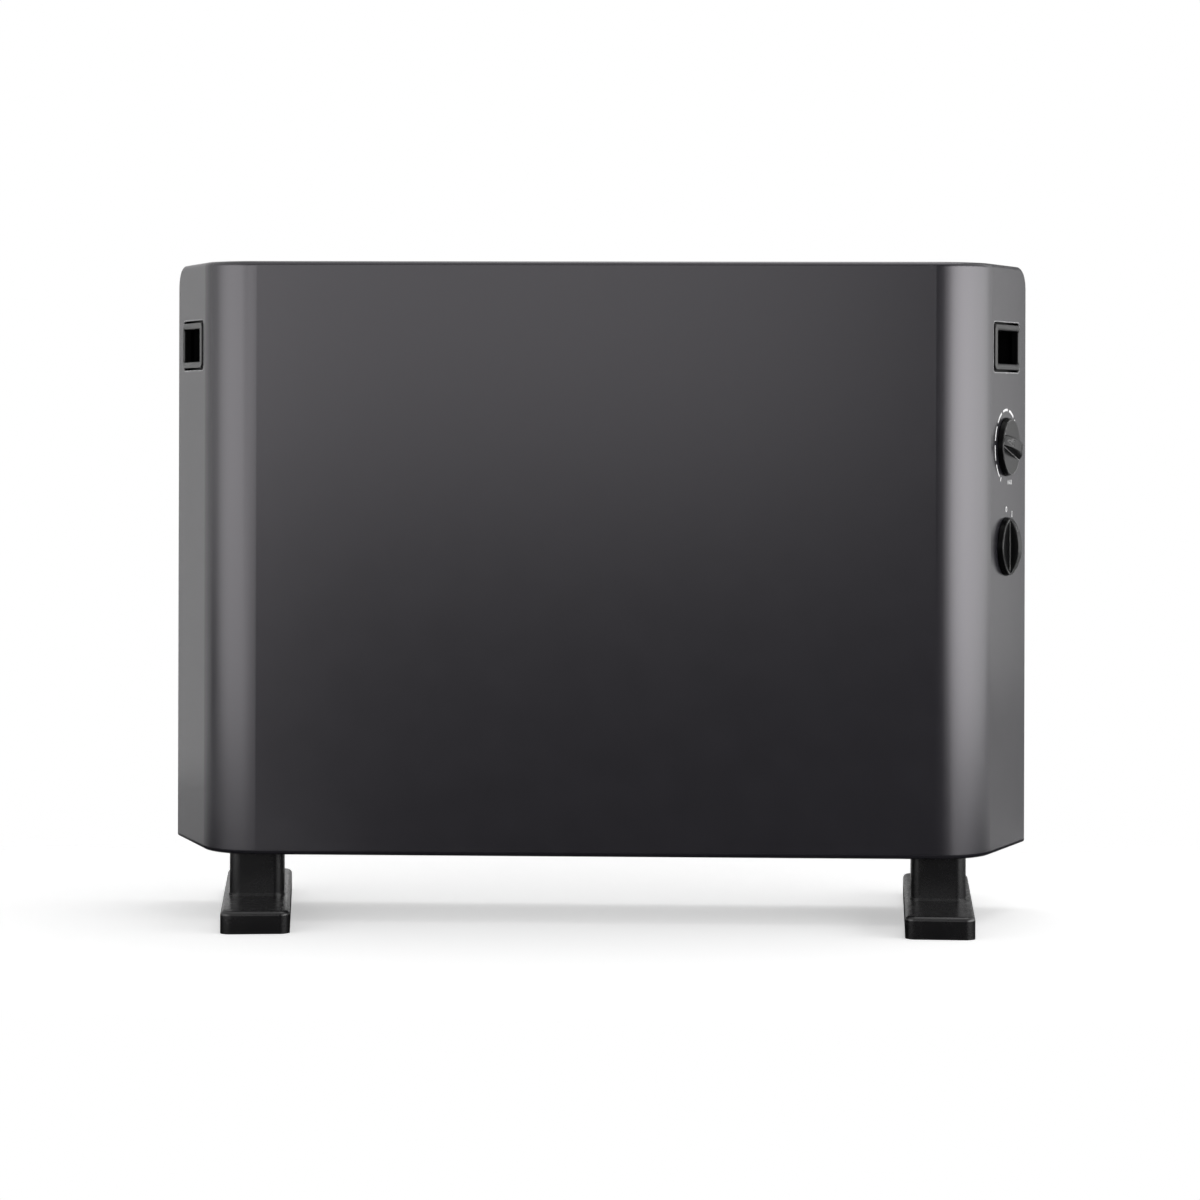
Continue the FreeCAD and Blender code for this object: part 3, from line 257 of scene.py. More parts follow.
def along_panel_normal(tree, vector, start):
    """Part of a vector that points out of the side panels, the same on the left and on the right."""
    split = tree.nodes.new("ShaderNodeSeparateXYZ")
    tree.links.new(vector, split.inputs["Vector"])
    outward = math_node(tree, "ABSOLUTE", split.outputs["X"])
    return math_node(tree, "ADD", math_node(tree, "MULTIPLY", outward, start.outputs["Outward"]),
                     math_node(tree, "MULTIPLY", split.outputs["Y"], start.outputs["Backward"]))


def facing_group():
    """Mask of the surfaces that face out of the side panels, from the direction of the panel."""
    tree, start, end = shader_group("Outward Faces", [("Outward", 1.0), ("Backward", 0.0)], ["Mask"])
    normal = tree.nodes.new("ShaderNodeTexCoord").outputs["Normal"]
    tree.links.new(smooth_step(tree, along_panel_normal(tree, normal, start), *FACING), end.inputs["Mask"])
    return tree


def above_group():
    """Mask of what stands above the side panels, from their direction and their distance to the origin."""
    inputs = [("Outward", 1.0), ("Backward", 0.0), ("Level", 0.3)]
    tree, start, end = shader_group("Above Panel", inputs, ["Mask"])
    distance = along_panel_normal(tree, object_place(tree), start)
    rise = math_node(tree, "SUBTRACT", distance, start.outputs["Level"])
    tree.links.new(smooth_step(tree, rise, *ABOVE), end.inputs["Mask"])
    return tree


GROUPS = {"Surface Grain": grain_group, "Drawn Lines": brushed_group, "Edge Rub And Highlight": rub_and_highlight_group,
          "Outward Faces": facing_group, "Above Panel": above_group}


def use_group(tree, name, **values):
    """Place a shared group in a material, built at its first use, with its own values."""
    node = tree.nodes.new("ShaderNodeGroup")
    node.node_tree = bpy.data.node_groups.get(name) or GROUPS[name]()
    for label, value in values.items():
        node.inputs[label].default_value = value
    return node


def blend_colour(tree, factor, first, second):
    """Mix of two colours, each a fixed one or the result of another mix."""
    node = tree.nodes.new("ShaderNodeMix")
    node.data_type = "RGBA"
    tree.links.new(factor, node.inputs["Factor"])
    # the sockets of a colour mix come after those of its number and vector mixes
    for socket, value in ((node.inputs[6], first), (node.inputs[7], second)):
        feed(tree, socket, value if isinstance(value, bpy.types.NodeSocket) else (*value, 1.0))
    return node.outputs[2]


def spread(tree, noise, low, high):
    """Range from low to high over the usual spread of a noise."""
    node = tree.nodes.new("ShaderNodeMapRange")
    node.inputs["From Min"].default_value, node.inputs["From Max"].default_value = NOISE_SPREAD
    node.inputs["To Min"].default_value = low
    node.inputs["To Max"].default_value = high
    tree.links.new(noise, node.inputs["Value"])
    return node.outputs["Result"]


def finish(name, dark, light, rough, grain="Surface Grain", size=0.001, height=0.00002, metallic=0.0,
           gloss=0.5, tint=(1.0, 1.0, 1.0), rub=None, rub_and_highlight_amount=0.0, rub_and_highlight_width=0.0005, stretch=None,
           polish=None, shine=1.0):
    """Material of one finish: two tones of its grain, varied roughness, a fine relief, rubbed edges with a
    painted highlight and a polish where the named mask is, as strong as its shine."""
    material = bpy.data.materials.new(name)
    material.use_nodes = True
    tree = material.node_tree
    shader = tree.nodes["Principled BSDF"]
    shader.inputs["Metallic"].default_value = metallic
    shader.inputs["Specular IOR Level"].default_value = gloss
    shader.inputs["Specular Tint"].default_value = (*tint, 1.0)
    values = {"Size": size} if stretch is None else {"Size": size, "Stretch": stretch}
    texture = use_group(tree, grain, **values)
    colour = blend_colour(tree, spread(tree, texture.outputs["Tone"], 0.0, 1.0), dark, light)
    polished = use_group(tree, polish[0], **polish[1]).outputs["Mask"] if polish else None
    # edges lightened in the base colour: partly rubbed paint, partly a painted highlight in place of their
    # reflection
    if rub:
        edge = use_group(tree, "Edge Rub And Highlight", Width=rub_and_highlight_width, Amount=rub_and_highlight_amount).outputs["Mask"]
        edge = math_node(tree, "MULTIPLY", edge, polished) if polish else edge
        colour = blend_colour(tree, edge, colour, rub)
    if polish:
        shader.inputs["Coat Roughness"].default_value = rough[0]
        tree.links.new(math_node(tree, "MULTIPLY", polished, shine), shader.inputs["Coat Weight"])
    tree.links.new(colour, shader.inputs["Base Color"])
    tree.links.new(spread(tree, texture.outputs["Tone"], *rough), shader.inputs["Roughness"])
    bump = tree.nodes.new("ShaderNodeBump")
    bump.inputs["Distance"].default_value = height
    tree.links.new(texture.outputs["Height"], bump.inputs["Height"])
    tree.links.new(bump.outputs["Normal"], shader.inputs["Normal"])
    return material


def coat(material, *names):
    """The material becomes the only one of these nodes."""
    for name in names:
        mesh = frame["nodes"][name].data
        mesh.materials.clear()
        mesh.materials.append(material)


# Printed marks

DASH_STEPS = 8               # straight lengths in each dash of the scale
OVAL_STEPS = 20              # straight lengths in the nought
OVAL_WIDTH = 0.32            # half width of the nought over the height of the figures
LETTER_PITCH = 1.1           # distance of two letters over their height
BAR_PITCH = 2.6              # distance of two bars over the width of a stroke
SERIF_WIDTH = 0.66           # width of a serif over that of a stroke


def panel_frame(joint_name):
    """Place on the right side panel at a control: x to the back, y up, z out of the panel."""
    joint = next(j for j in frame["joints"] if j["name"] == joint_name)
    out = -Vector(joint["axis"]).normalized()
    back = UP.cross(out)
    rows = Matrix((back, UP, out)).transposed().to_4x4()
    return Matrix.Translation(Vector(joint["pos_m"])) @ rows


def round_the_shaft(radius, clockwise):
    """Point on the panel at a radius and an angle from the top."""
    return Vector((radius * math.sin(clockwise), radius * math.cos(clockwise)))


def stroke(bm, points, widths, film, closed=False):
    """Flat printed line through 2D points, with its own width at each point and the thickness of the ink."""
    count = len(points)
    rings = []
    for i, point in enumerate(points):
        before = points[i - 1] if i or closed else point
        after = points[(i + 1) % count] if i + 1 < count or closed else point
        along = (after - before).normalized()
        side = Vector((-along.y, along.x)) * widths[i] / 2
        corners = [(point + side, 0.0), (point + side, film), (point - side, film), (point - side, 0.0)]
        rings.append([bm.verts.new((p.x, p.y, z)) for p, z in corners])
    pairs = list(zip(rings, rings[1:] + rings[:1])) if closed else list(zip(rings, rings[1:]))
    for first, second in pairs:
        for k in range(4):
            bm.faces.new((first[k], first[(k + 1) % 4], second[(k + 1) % 4], second[k]))
    if not closed:
        bm.faces.new(rings[0])
        bm.faces.new(rings[-1])


def loose_object(name, bm):
    """Object of a closed mesh, with its faces turned outward."""
    bmesh.ops.recalc_face_normals(bm, faces=bm.faces)
    mesh = bpy.data.meshes.new(name)
    bm.to_mesh(mesh)
    bm.free()
    made = bpy.data.objects.new(name, mesh)
    bpy.context.scene.collection.objects.link(made)
    return made


def mesh_piece(name, bm, place, material):
    """Object of a finished mesh, put in its place in the frame of the heater."""
    piece = loose_object(name, bm)
    piece.data.transform(place)
    piece.data.materials.append(material)
    return piece


def ink(colours):
    return bpy.data.materials.get("White ink") or finish(
        "White ink", colours.ink_dark, colours.ink_light, (0.45, 0.6), size=0.0004, height=0.00001)


# strokes of each letter, in letter heights from its middle
LETTERS = {
    "M": [[(-0.38, -0.5), (-0.38, 0.5), (0.0, -0.15), (0.38, 0.5), (0.38, -0.5)]],
    "A": [[(-0.4, -0.5), (0.0, 0.5), (0.4, -0.5)], [(-0.24, -0.15), (0.24, -0.15)]],
    "X": [[(-0.36, -0.5), (0.36, 0.5)], [(-0.36, 0.5), (0.36, -0.5)]],
}


class HEATER_OT_thermostat_scale(bpy.types.Operator):
    """Print the dashes, the tick and the word round the thermostat knob"""
    bl_idname = "heater.thermostat_scale"
    bl_label = "Thermostat scale"

    def execute(self, context):
        s = context.scene.heater_scale
        bm = bmesh.new()
        total = max(1, s.dashes - 1) * s.pitch + s.span
        for i in range(s.dashes):
            start = s.first + i * s.pitch - s.span / 2
            turns = [start + s.span * k / DASH_STEPS for k in range(DASH_STEPS + 1)]
            widths = [s.thin + (s.thick - s.thin) * (t - s.first + s.span / 2) / total for t in turns]
            stroke(bm, [round_the_shaft(s.radius, t) for t in turns], widths, s.film)
        ends = [round_the_shaft(s.radius + reach, s.tick) for reach in (-s.letter / 2, s.letter / 2)]
        stroke(bm, ends, [2 * s.stroke] * 2, s.film)
        centre = round_the_shaft(s.radius, s.word)
        for letter, place in zip("MAX", (-1, 0, 1)):
            for line in LETTERS[letter]:
                points = [centre + Vector((x + place * LETTER_PITCH, y)) * s.letter for x, y in line]
                stroke(bm, points, [s.stroke] * len(points), s.film)
        white = ink(context.scene.heater_finish)
        piece = mesh_piece("thermostat_scale", bm, panel_frame("thermostat_turn"), white)
        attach(piece, "heater")
        return {"FINISHED"}


class HEATER_OT_selector_marks(bpy.types.Operator):
    """Print the figures of the three positions round the selector knob"""
    bl_idname = "heater.selector_marks"
    bl_label = "Selector marks"

    def execute(self, context):
        s = context.scene.heater_selector
        bm = bmesh.new()
        half = s.height / 2
        centre = round_the_shaft(s.radius, 0.0)
        oval = [Vector((OVAL_WIDTH * s.height * math.sin(t), (half - s.stroke / 2) * math.cos(t)))
                for t in (2 * math.pi * k / OVAL_STEPS for k in range(OVAL_STEPS))]
        stroke(bm, [centre + p for p in oval], [s.stroke] * OVAL_STEPS, s.film, closed=True)
        for position in (1, 2):
            centre = round_the_shaft(s.radius, position * s.step)
            for bar in range(position):
                x = (bar - (position - 1) / 2) * BAR_PITCH * s.stroke
                foot, head = centre + Vector((x, -half)), centre + Vector((x, half))
                stroke(bm, [foot, head], [s.stroke] * 2, s.film)
                for end, lift in ((foot, s.stroke / 3), (head, -s.stroke / 3)):
                    level = end + Vector((0.0, lift))
                    serif = Vector((s.stroke, 0.0))
                    stroke(bm, [level - serif, level + serif], [s.stroke * SERIF_WIDTH] * 2, s.film)
        white = ink(context.scene.heater_finish)
        piece = mesh_piece("selector_marks", bm, panel_frame("selector_turn"), white)
        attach(piece, "heater")
        return {"FINISHED"}


# Screws

WELD = 0.000001              # corners this near are one
RIM_FROM = 0.9               # share of a head's radius beyond which a corner is on its rim
SHANK_TO = 0.7               # share of a head's radius within which a corner is on the shank
HEAD_STEPS = 32              # corners round a head
THREAD_STEPS = 20            # corners in one turn of a thread
THREAD_ROOT = 1.2            # how far a thread is sunk below its crest, over its depth
THREAD_FILL = 0.98           # share of the pitch that the ridge covers
THREAD_START = 0.0002        # distance of the thread from the seat
TIP = 1.2                    # length of the point over the radius of the shank
TIP_END = 0.25               # radius of the end of the point over that of the core
WING = 0.13                  # half width of the recess over the radius of the head
RECESS_DEPTH = 0.62          # depth of the recess over the height of the head
RECESS_FLOOR = 0.6           # size of the recess at its floor over its full size
RECESS_MOUTH = 1.1           # size of the cutter above the head over the full size
CUTTER_TOP = 1.2             # height of the cutter over that of the head
SHARP_EDGE = math.radians(32)  # faces that meet at more than this keep a sharp edge
# radius and height of a pan head, as shares of its own
PAN_HEAD = [(0.0, 1.0), (0.35, 0.99), (0.62, 0.93), (0.83, 0.8), (0.95, 0.6), (1.0, 0.36), (1.0, 0.0)]


def islands(name):
    """Points of a node in groups, one for each loose solid: corners that an edge joins belong together."""
    bm = bmesh.new()
    bm.from_mesh(frame["nodes"][name].data)
    bmesh.ops.remove_doubles(bm, verts=bm.verts, dist=WELD)
    bm.verts.index_update()
    groups, seen = [], set()
    for vertex in bm.verts:
        if vertex.index in seen:
            continue
        seen.add(vertex.index)
        group, waiting = [], [vertex]
        while waiting:
            corner = waiting.pop()
            group.append(corner.co.copy())
            for edge in corner.link_edges:
                other = edge.other_vert(corner)
                if other.index not in seen:
                    seen.add(other.index)
                    waiting.append(other)
        groups.append(group)
    bm.free()
    return groups


def screw_measures(points):
    """Seat of one screw, the way its head points, and the radius and length of its head and its shank."""
    low = Vector([min(p[k] for p in points) for k in range(3)])
    high = Vector([max(p[k] for p in points) for k in range(3)])
    size = high - low
    k = max(range(3), key=lambda i: size[i])
    axis = Vector([1.0 if i == k else 0.0 for i in range(3)])
    centre = (low + high) / 2
    head_radius = max(size[i] for i in range(3) if i != k) / 2

    def off_axis(point):
        return (point - centre - axis * (point - centre).dot(axis)).length

    rim = [p[k] for p in points if off_axis(p) > RIM_FROM * head_radius]
    shank = max(off_axis(p) for p in points if off_axis(p) < SHANK_TO * head_radius)
    head_low, head_high = min(rim), max(rim)
    out = axis if head_high > centre[k] else -axis
    seat = centre.copy()
    seat[k] = head_low if head_high > centre[k] else head_high
    return seat, out, head_radius, head_high - head_low, shank, size[k] - (head_high - head_low)


def lathe(bm, profile, steps):
    """Surface turned about Z from (radius, height) points, closed where the radius is nought."""
    turns = [2 * math.pi * i / steps for i in range(steps)]
    rings = []
    for radius, height in profile:
        if radius == 0.0:
            rings.append([bm.verts.new((0.0, 0.0, height))])
        else:
            rings.append([bm.verts.new((radius * math.cos(t), radius * math.sin(t), height)) for t in turns])
    for first, second in zip(rings, rings[1:]):
        for i in range(steps):
            corners = [first[i % len(first)], first[(i + 1) % len(first)],
                       second[(i + 1) % len(second)], second[i % len(second)]]
            bm.faces.new(list(dict.fromkeys(corners)))


def thread(bm, radius, top, bottom, pitch, depth):
    """Closed helical ridge round a shank, from one height down to another, its root inside the shank."""
    turns = (top - bottom) / pitch - 1
    root = radius - THREAD_ROOT * depth
    rows = []
    for i in range(int(turns * THREAD_STEPS) + 1):
        t = 2 * math.pi * i / THREAD_STEPS
        z = top - pitch * i / THREAD_STEPS
        shape = ((root, z), (radius, z - pitch / 2), (root, z - THREAD_FILL * pitch))
        rows.append([bm.verts.new((r * math.cos(t), r * math.sin(t), h)) for r, h in shape])
    for first, second in zip(rows, rows[1:]):
        for k in range(3):
            bm.faces.new((first[k], second[k], second[(k + 1) % 3], first[(k + 1) % 3]))
    for end in (rows[0], rows[-1]):
        bm.faces.new(end)


def screw_blank(head_radius, head, core, tip, reach):
    """Head, core and point of a screw, turned about Z."""
    bm = bmesh.new()
    profile = [(r * head_radius, h * head) for r, h in PAN_HEAD]
    profile += [(core, 0.0), (core, -reach + tip), (TIP_END * core, -reach), (0.0, -reach)]
    lathe(bm, profile, HEAD_STEPS)
    return loose_object("screw_blank", bm)


def recess_cutter(half, wing, floor, top):
    """Cross that narrows towards its floor."""
    bm = bmesh.new()
    arm = [(half, -wing), (half, wing), (wing, wing)]
    quarter = [arm, [(-y, x) for x, y in arm], [(-x, -y) for x, y in arm], [(y, -x) for x, y in arm]]
    outline = [corner for side in quarter for corner in side]
    low = [bm.verts.new((RECESS_FLOOR * x, RECESS_FLOOR * y, floor)) for x, y in outline]
    high = [bm.verts.new((RECESS_MOUTH * x, RECESS_MOUTH * y, top)) for x, y in outline]
    bm.faces.new(low)
    bm.faces.new(high)
    count = len(outline)
    for i in range(count):
        bm.faces.new((low[i], low[(i + 1) % count], high[(i + 1) % count], high[i]))
    return loose_object("screw_driver", bm)


def screw_mesh(head_radius, head, shank, reach, s):
    """Pan-head screw about Z, its seat at nought, with a cross recess and a thread."""
    tip = TIP * shank
    blank = screw_blank(head_radius, head, shank - s.depth, tip, reach)
    cutter = recess_cutter(s.recess * head_radius, WING * head_radius, head - RECESS_DEPTH * head,
                           head * CUTTER_TOP)
    cut = blank.modifiers.new("recess", "BOOLEAN")
    cut.operation = "DIFFERENCE"
    cut.solver = "EXACT"
    cut.object = cutter
    bpy.context.view_layer.update()
    result = bpy.data.meshes.new_from_object(blank.evaluated_get(bpy.context.evaluated_depsgraph_get()))
    for made in (blank, cutter):
        bpy.data.objects.remove(made)

    bm = bmesh.new()
    bm.from_mesh(result)
    thread(bm, shank, -THREAD_START, -reach + tip, s.pitch, s.depth)
    bm.to_mesh(result)
    bm.free()
    return result


class HEATER_OT_screws(bpy.types.Operator):
    """Put pan-head screws with a cross recess and a thread in the places of the plain ones"""
    bl_idname = "heater.screws"
    bl_label = "Screws"

    def execute(self, context):
        s = context.scene.heater_screws
        steel = finish("Blackened steel", (0.030, 0.030, 0.032), (0.060, 0.060, 0.064), (0.28, 0.42),
                       size=0.0005, height=0.00001, metallic=0.9, rub=(0.35, 0.35, 0.36), rub_and_highlight_amount=0.5,
                       rub_and_highlight_width=0.0002)
        for node in ("cover_screws", "foot_screws", "bracket_screws"):
            bm = bmesh.new()
            for points in islands(node):
                seat, out, head_radius, head, shank, reach = screw_measures(points)
                copy = screw_mesh(head_radius, head, shank, reach, s)
                copy.transform(Matrix.Translation(seat) @ out.to_track_quat("Z", "Y").to_matrix().to_4x4())
                bm.from_mesh(copy)
            piece = mesh_piece(node.replace("_", "_cross_"), bm, Matrix.Identity(4), steel)
            piece.data.set_sharp_from_angle(angle=SHARP_EDGE)
            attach(piece, "heater")
            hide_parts(node)
        return {"FINISHED"}


# Finishes of the modelled pieces

SATIN_SPREAD = 0.006         # how far the roughness of the shell's paint varies to either side


class HEATER_OT_body_finish(bpy.types.Operator):
    """Powder coat of the front shell, the rear cover and the bottom plate"""
    bl_idname = "heater.body_finish"
    bl_label = "Body paint"

    def execute(self, context):
        s = context.scene.heater_finish
        satin = (s.paint_roughness - SATIN_SPREAD, s.paint_roughness + SATIN_SPREAD)
        # painted highlight: a pale line along the shell's edges and cut-outs stands in for their reflection
        coat(finish("Anthracite powder coat", s.shell_dark, s.shell_light, satin,
                    size=0.0009, height=0.000006, gloss=s.paint_gloss, tint=(0.985, 0.955, 1.0),
                    rub=(0.80, 0.80, 0.81), rub_and_highlight_amount=0.9, rub_and_highlight_width=s.rub_and_highlight_width), "front_shell")
        coat(finish("Black powder coat", s.cover_dark, s.cover_light, (0.42, 0.52),
                    size=0.0009, height=0.00003, gloss=s.paint_gloss, rub=(0.19, 0.19, 0.19), rub_and_highlight_amount=0.5,
                    rub_and_highlight_width=s.rub_and_highlight_width), "rear_cover", "bottom_plate")
        return {"FINISHED"}


class HEATER_OT_moulding_finish(bpy.types.Operator):
    """Grained plastics and rubbers: grips, knobs, feet, inlet, control cases and wires"""
    bl_idname = "heater.moulding_finish"
    bl_label = "Mouldings"

    def execute(self, context):
        s = context.scene.heater_finish
        panel = panel_frame("thermostat_turn")
        out = panel.col[2].xyz
        side = {"Outward": out.x, "Backward": out.y}
        face = {**side, "Level": out.dot(panel.translation)}
        # painted highlight: light lines along the grips' edges above the panel
        coat(finish("Grip plastic", s.grip_dark, s.grip_light, (0.30, 0.38),
                    size=0.0006, height=0.00001, gloss=0.04, rub=(0.22, 0.22, 0.22), rub_and_highlight_amount=0.8,
                    rub_and_highlight_width=s.rub_and_highlight_width, polish=("Above Panel", face), shine=0.72),
             "grip_left", "grip_right")
        # painted highlight: light lines round the edges of the knobs' faces and bars
        coat(finish("Knob plastic", s.knob_dark, s.knob_light, (0.20, 0.26),
                    size=0.0005, height=0.000006, gloss=0.04, rub=(0.54, 0.54, 0.54), rub_and_highlight_amount=1.0,
                    rub_and_highlight_width=s.rub_and_highlight_width, polish=("Outward Faces", side), shine=0.42),
             "thermostat_knob", "selector_knob")
        coat(finish("Foot plastic", s.foot_dark, s.foot_light, (0.24, 0.30),
                    size=0.0008, height=0.00002, gloss=0.48, rub=(0.05, 0.05, 0.05), rub_and_highlight_amount=0.6,
                    rub_and_highlight_width=s.rub_and_highlight_width), "foot_left", "foot_right")
        coat(finish("Inlet rubber", (0.010, 0.010, 0.010), (0.018, 0.018, 0.018), (0.55, 0.7),
                    size=0.0007, height=0.00005, gloss=0.35), "cord_bushing", "baffle_grommet")
        coat(finish("Control thermoset", (0.60, 0.58, 0.53), (0.70, 0.68, 0.63), (0.38, 0.52),
                    size=0.0008, height=0.00003), "thermostat_body", "selector_body", "thermal_cutout",
             "terminal_block")
        coat(finish("Wire silicone", (0.36, 0.34, 0.31), (0.46, 0.44, 0.40), (0.45, 0.6),
                    size=0.0006, height=0.00003), "wiring")
        return {"FINISHED"}


class HEATER_OT_metal_finish(bpy.types.Operator):
    """Bare metals and ceramic behind the skin: supports, heater, bushes, shafts and nuts"""
    bl_idname = "heater.metal_finish"
    bl_label = "Metals and ceramic"

    def execute(self, context):
        coat(finish("Zinc coated sheet", (0.42, 0.43, 0.44), (0.58, 0.59, 0.60), (0.3, 0.48),
                    size=0.004, height=0.00002, metallic=1.0, rub=(0.75, 0.75, 0.76), rub_and_highlight_amount=0.6),
             "control_bracket", "control_baffle", "element_bracket")
        coat(finish("Cast aluminium", (0.52, 0.53, 0.54), (0.66, 0.67, 0.68), (0.4, 0.55),
                    size=0.0012, height=0.00006, metallic=1.0), "heating_element")
        coat(finish("Heat tinted sheath", (0.20, 0.18, 0.16), (0.34, 0.32, 0.31), (0.32, 0.45),
                    grain="Drawn Lines", size=0.0004, height=0.00002, metallic=1.0, stretch=30.0),
             "heater_rods")
        coat(finish("Turned steel", (0.45, 0.45, 0.46), (0.60, 0.60, 0.61), (0.22, 0.34),
                    grain="Drawn Lines", size=0.0003, height=0.00001, metallic=1.0, stretch=8.0),
             "thermostat_shaft", "selector_shaft")
        coat(finish("Turned brass", (0.55, 0.40, 0.16), (0.68, 0.52, 0.24), (0.25, 0.4),
                    grain="Drawn Lines", size=0.0003, height=0.00001, metallic=1.0, stretch=6.0),
             "control_nuts", "element_link")
        coat(finish("Bush ceramic", (0.70, 0.67, 0.60), (0.80, 0.77, 0.70), (0.6, 0.75),
                    size=0.0006, height=0.00004), "element_bushes")
        return {"FINISHED"}


# Studio

SENSOR = 36.0                # width of the sensor in millimetres
FLOOR_STEPS = 96             # corners of the floor
FLOOR_REACH = (1.7, 0.62)    # half length and half depth of the floor
FLOOR_FADE = (0.36, 0.72)    # shares of its reach over which the floor thins out
FLOOR_GLOW = 0.4             # what the camera sees added to the floor, so that it is white out of the shadow
GROUND = -0.01               # level of the cards on the ground, just under the floor


def on_ground(*corners):
    """Corners of a card that lies on the ground."""
    return [(x, y, GROUND) for x, y in corners]


def upright(first, second, low, high):
    """Corners of a card that stands between two places."""
    return [(*first, low), (*second, low), (*second, high), (*first, high)]


CARD_TONES = {"Dark card": 0.05, "Grey card": 0.5, "Pale card": 0.62, "Light card": 0.80, "White card": 0.88}
# cards that only the reflections show: name, corners and material
CARDS = (
    ("left_ground", on_ground((-5, -4.5), (-1.6, -4.5), (-0.15, -0.25), (0, -0.25), (0, 5), (-5, 5)),
     "Pale card"),
    ("right_ground", on_ground((0, -0.25), (0.4, -0.25), (3, -4.5), (5, -4.5), (5, 1.6), (0, 1.6)),
     "Light card"),
    ("left_card", upright((-1.23, 0.33), (-0.25, 1.01), 0, 1), "White card"),
    ("front_card", on_ground((-1.6, -4.5), (3, -4.5), (0.4, -0.25), (-0.15, -0.25)), "Dark card"),
    ("standing_card", upright((-3, -4.5), (3, -4.5), GROUND, 3), "Dark card"),
    ("right_card", upright((0.586, 0.401), (0.20, 0.718), 0, 1), "Grey card"),
    ("rear_card", upright((-0.6, 1.0), (0.6, 1.0), 0, 0.25), "Grey card"),
)


def camera_matrix(s):
    """Place of a level camera that looks along +Y, turned by its yaw and its roll."""
    level = Matrix.Rotation(math.pi / 2, 4, "X")
    return (Matrix.Translation(Vector(s.camera)) @ Matrix.Rotation(s.yaw, 4, "Z") @ level
            @ Matrix.Rotation(s.roll, 4, "Z"))


def softbox(name, place, target, width, height, brightness, rise=None, fall=None):
    """Area light that faces its target and that the camera doesn't see. With a rise and a fall, as shares of
    its width, its brightness grows and fades across it."""
    light = bpy.data.lights.new(name, "AREA")
    light.shape = "RECTANGLE"
    light.size, light.size_y = width, height
    light.energy = brightness * math.pi * width * height
    if rise and fall:
        light.use_nodes = True
        tree = light.node_tree
        split = tree.nodes.new("ShaderNodeSeparateXYZ")
        tree.links.new(tree.nodes.new("ShaderNodeNewGeometry").outputs["Parametric"], split.inputs["Vector"])
        across = split.outputs["X"]
        graded = math_node(tree, "SUBTRACT", smooth_step(tree, across, *rise),
                           smooth_step(tree, across, *fall))
        tree.links.new(graded, tree.nodes["Emission"].inputs["Strength"])
    lamp = bpy.data.objects.new(name, light)
    lamp.location = place
    lamp.rotation_euler = (Vector(target) - Vector(place)).to_track_quat("-Z", "Y").to_euler()
    lamp.visible_camera = False
    bpy.context.scene.collection.objects.link(lamp)


def seen_ray(tree):
    """One for what the camera sees, straight, mirrored or through glass, and nought for what only lights."""
    path = tree.nodes.new("ShaderNodeLightPath")
    seen = math_node(tree, "MAXIMUM", path.outputs["Is Camera Ray"], path.outputs["Is Glossy Ray"])
    return math_node(tree, "MAXIMUM", seen, path.outputs["Is Transmission Ray"])


def white_world(fill):
    """Even light all round, shown as white to the eye and in reflections."""
    world = bpy.data.worlds.new("Studio")
    world.use_nodes = True
    world.cycles.sampling_method = "NONE"
    tree = world.node_tree
    plain = tree.nodes["Background"]
    plain.inputs["Color"].default_value = (1.0, 1.0, 1.0, 1.0)
    plain.inputs["Strength"].default_value = fill
    white = tree.nodes.new("ShaderNodeBackground")
    white.inputs["Color"].default_value = (1.0, 1.0, 1.0, 1.0)
    white.inputs["Strength"].default_value = 1.0
    mix = tree.nodes.new("ShaderNodeMixShader")
    tree.links.new(seen_ray(tree), mix.inputs["Fac"])
    tree.links.new(plain.outputs["Background"], mix.inputs[1])
    tree.links.new(white.outputs["Background"], mix.inputs[2])
    tree.links.new(mix.outputs["Shader"], tree.nodes["World Output"].inputs["Surface"])
    return world


def floor_material():
    """Pale matt floor that thins out into the white surroundings away from the heater."""
    material = bpy.data.materials.new("Studio floor")
    material.use_nodes = True
    tree = material.node_tree
    shader = tree.nodes["Principled BSDF"]
    shader.inputs["Base Color"].default_value = (0.92, 0.92, 0.92, 1.0)
    shader.inputs["Roughness"].default_value = 0.9
    shader.inputs["Specular IOR Level"].default_value = 0.0
    shader.inputs["Emission Color"].default_value = (1.0, 1.0, 1.0, 1.0)
    glow = math_node(tree, "MULTIPLY", seen_ray(tree), FLOOR_GLOW)
    tree.links.new(glow, shader.inputs["Emission Strength"])
    reach = tree.nodes.new("ShaderNodeVectorMath")
    reach.operation = "LENGTH"
    tree.links.new(object_place(tree), reach.inputs[0])
    faded = smooth_step(tree, reach.outputs["Value"], *FLOOR_FADE)
    tree.links.new(math_node(tree, "SUBTRACT", 1.0, faded), shader.inputs["Alpha"])
    return material


def card_material(name, grey):
    """Matt paper of one grey."""
    material = bpy.data.materials.new(name)
    material.use_nodes = True
    shader = material.node_tree.nodes["Principled BSDF"]
    shader.inputs["Base Color"].default_value = (grey, grey, grey, 1.0)
    shader.inputs["Roughness"].default_value = 1.0
    shader.inputs["Specular IOR Level"].default_value = 0.0
    return material


def flat_stage(name, corners, material):
    """Flat piece of the studio, which isn't part of the heater."""
    mesh = bpy.data.meshes.new(name)
    mesh.from_pydata(corners, [], [tuple(range(len(corners)))])
    mesh.materials.append(material)
    piece = bpy.data.objects.new(name, mesh)
    bpy.context.scene.collection.objects.link(piece)
    return piece


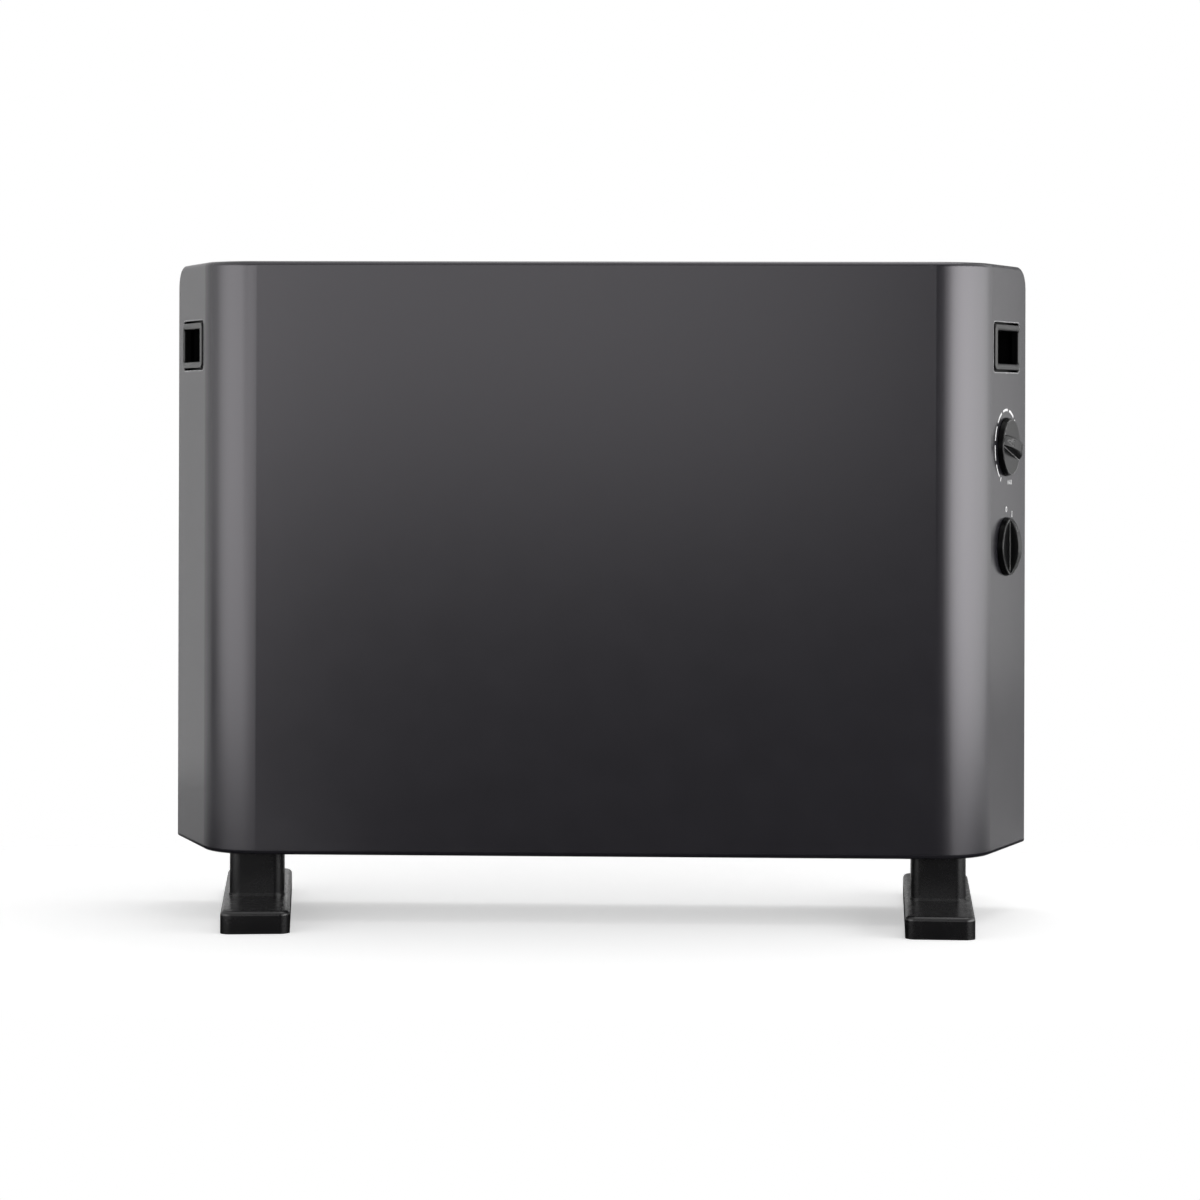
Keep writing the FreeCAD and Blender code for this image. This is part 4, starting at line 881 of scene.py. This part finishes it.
class HEATER_OT_studio(bpy.types.Operator):
    """Pale floor, white surroundings, softboxes, cards that only the reflections show, and the camera"""
    bl_idname = "heater.studio"
    bl_label = "Studio"

    def execute(self, context):
        scene = context.scene
        s = scene.heater_stage
        lens = bpy.data.cameras.new("Camera")
        lens.sensor_width = SENSOR
        lens.lens = s.lens
        lens.shift_y = -s.drop
        camera = bpy.data.objects.new("Camera", lens)
        camera.matrix_world = camera_matrix(s)
        scene.collection.objects.link(camera)
        scene.camera = camera

        turns = [2 * math.pi * i / FLOOR_STEPS for i in range(FLOOR_STEPS)]
        floor = flat_stage("studio_floor", [(math.cos(t), math.sin(t), 0.0) for t in turns], floor_material())
        floor.scale = (*FLOOR_REACH, 1.0)
        floor.visible_glossy = False
        papers = {name: card_material(name, tone) for name, tone in CARD_TONES.items()}
        for name, corners, paper in CARDS:
            card = flat_stage(name, corners, papers[paper])
            card.visible_camera = False
            card.visible_shadow = False

        softbox("right_softbox", (1.40, -0.38, 0.32), (0.25, -0.03, 0.32), width=5.4, height=0.64,
                brightness=s.key, rise=(0.08, 0.48), fall=(0.32, 0.90))
        softbox("left_softbox", (-0.98, -0.88, 0.32), (-0.25, -0.04, 0.32), width=3.4, height=0.64,
                brightness=s.side, rise=(0.0, 0.42), fall=(0.56, 0.75))
        softbox("front_softbox", (-0.75, -4.2, 0.98), (-0.2, 0.0, 0.3), width=2.5, height=1.6,
                brightness=s.front)
        softbox("top_softbox", (0.3, 0.3, 2.2), (0.0, 0.0, 0.4), width=1.6, height=1.2, brightness=s.top)
        scene.world = white_world(s.fill)
        scene.view_settings.view_transform = "Standard"
        return {"FINISHED"}


SETTINGS = {
    "heater_finish": HeaterFinishSettings,
    "heater_scale": HeaterScaleSettings,
    "heater_selector": HeaterSelectorSettings,
    "heater_screws": HeaterScrewSettings,
    "heater_stage": HeaterStageSettings,
}
OPERATORS = (
    HEATER_OT_body_finish,
    HEATER_OT_moulding_finish,
    HEATER_OT_metal_finish,
    HEATER_OT_thermostat_scale,
    HEATER_OT_selector_marks,
    HEATER_OT_screws,
    HEATER_OT_studio,
)


class HEATER_PT_panel(bpy.types.Panel):
    """Steps that dress the heater, with their settings"""
    bl_idname = "HEATER_PT_panel"
    bl_label = "Convector heater"
    bl_space_type = "VIEW_3D"
    bl_region_type = "UI"
    bl_category = "Heater"

    def draw(self, context):
        for step in OPERATORS:
            self.layout.operator(step.bl_idname)
        for name, group in SETTINGS.items():
            column = self.layout.column()
            for label in group.__annotations__:
                column.prop(getattr(context.scene, name), label)


def register():
    for name, group in SETTINGS.items():
        bpy.utils.register_class(group)
        setattr(bpy.types.Scene, name, PointerProperty(type=group))
    for step in OPERATORS + (HEATER_PT_panel,):
        bpy.utils.register_class(step)


def unregister():
    for step in (HEATER_PT_panel,) + OPERATORS[::-1]:
        bpy.utils.unregister_class(step)
    for name, group in SETTINGS.items():
        delattr(bpy.types.Scene, name)
        bpy.utils.unregister_class(group)


def main():
    register()
    bpy.ops.heater.body_finish()
    bpy.ops.heater.moulding_finish()
    bpy.ops.heater.metal_finish()
    bpy.ops.heater.thermostat_scale()
    bpy.ops.heater.selector_marks()
    bpy.ops.heater.screws()
    bpy.ops.heater.studio()


if __name__ == "__main__":
    main()
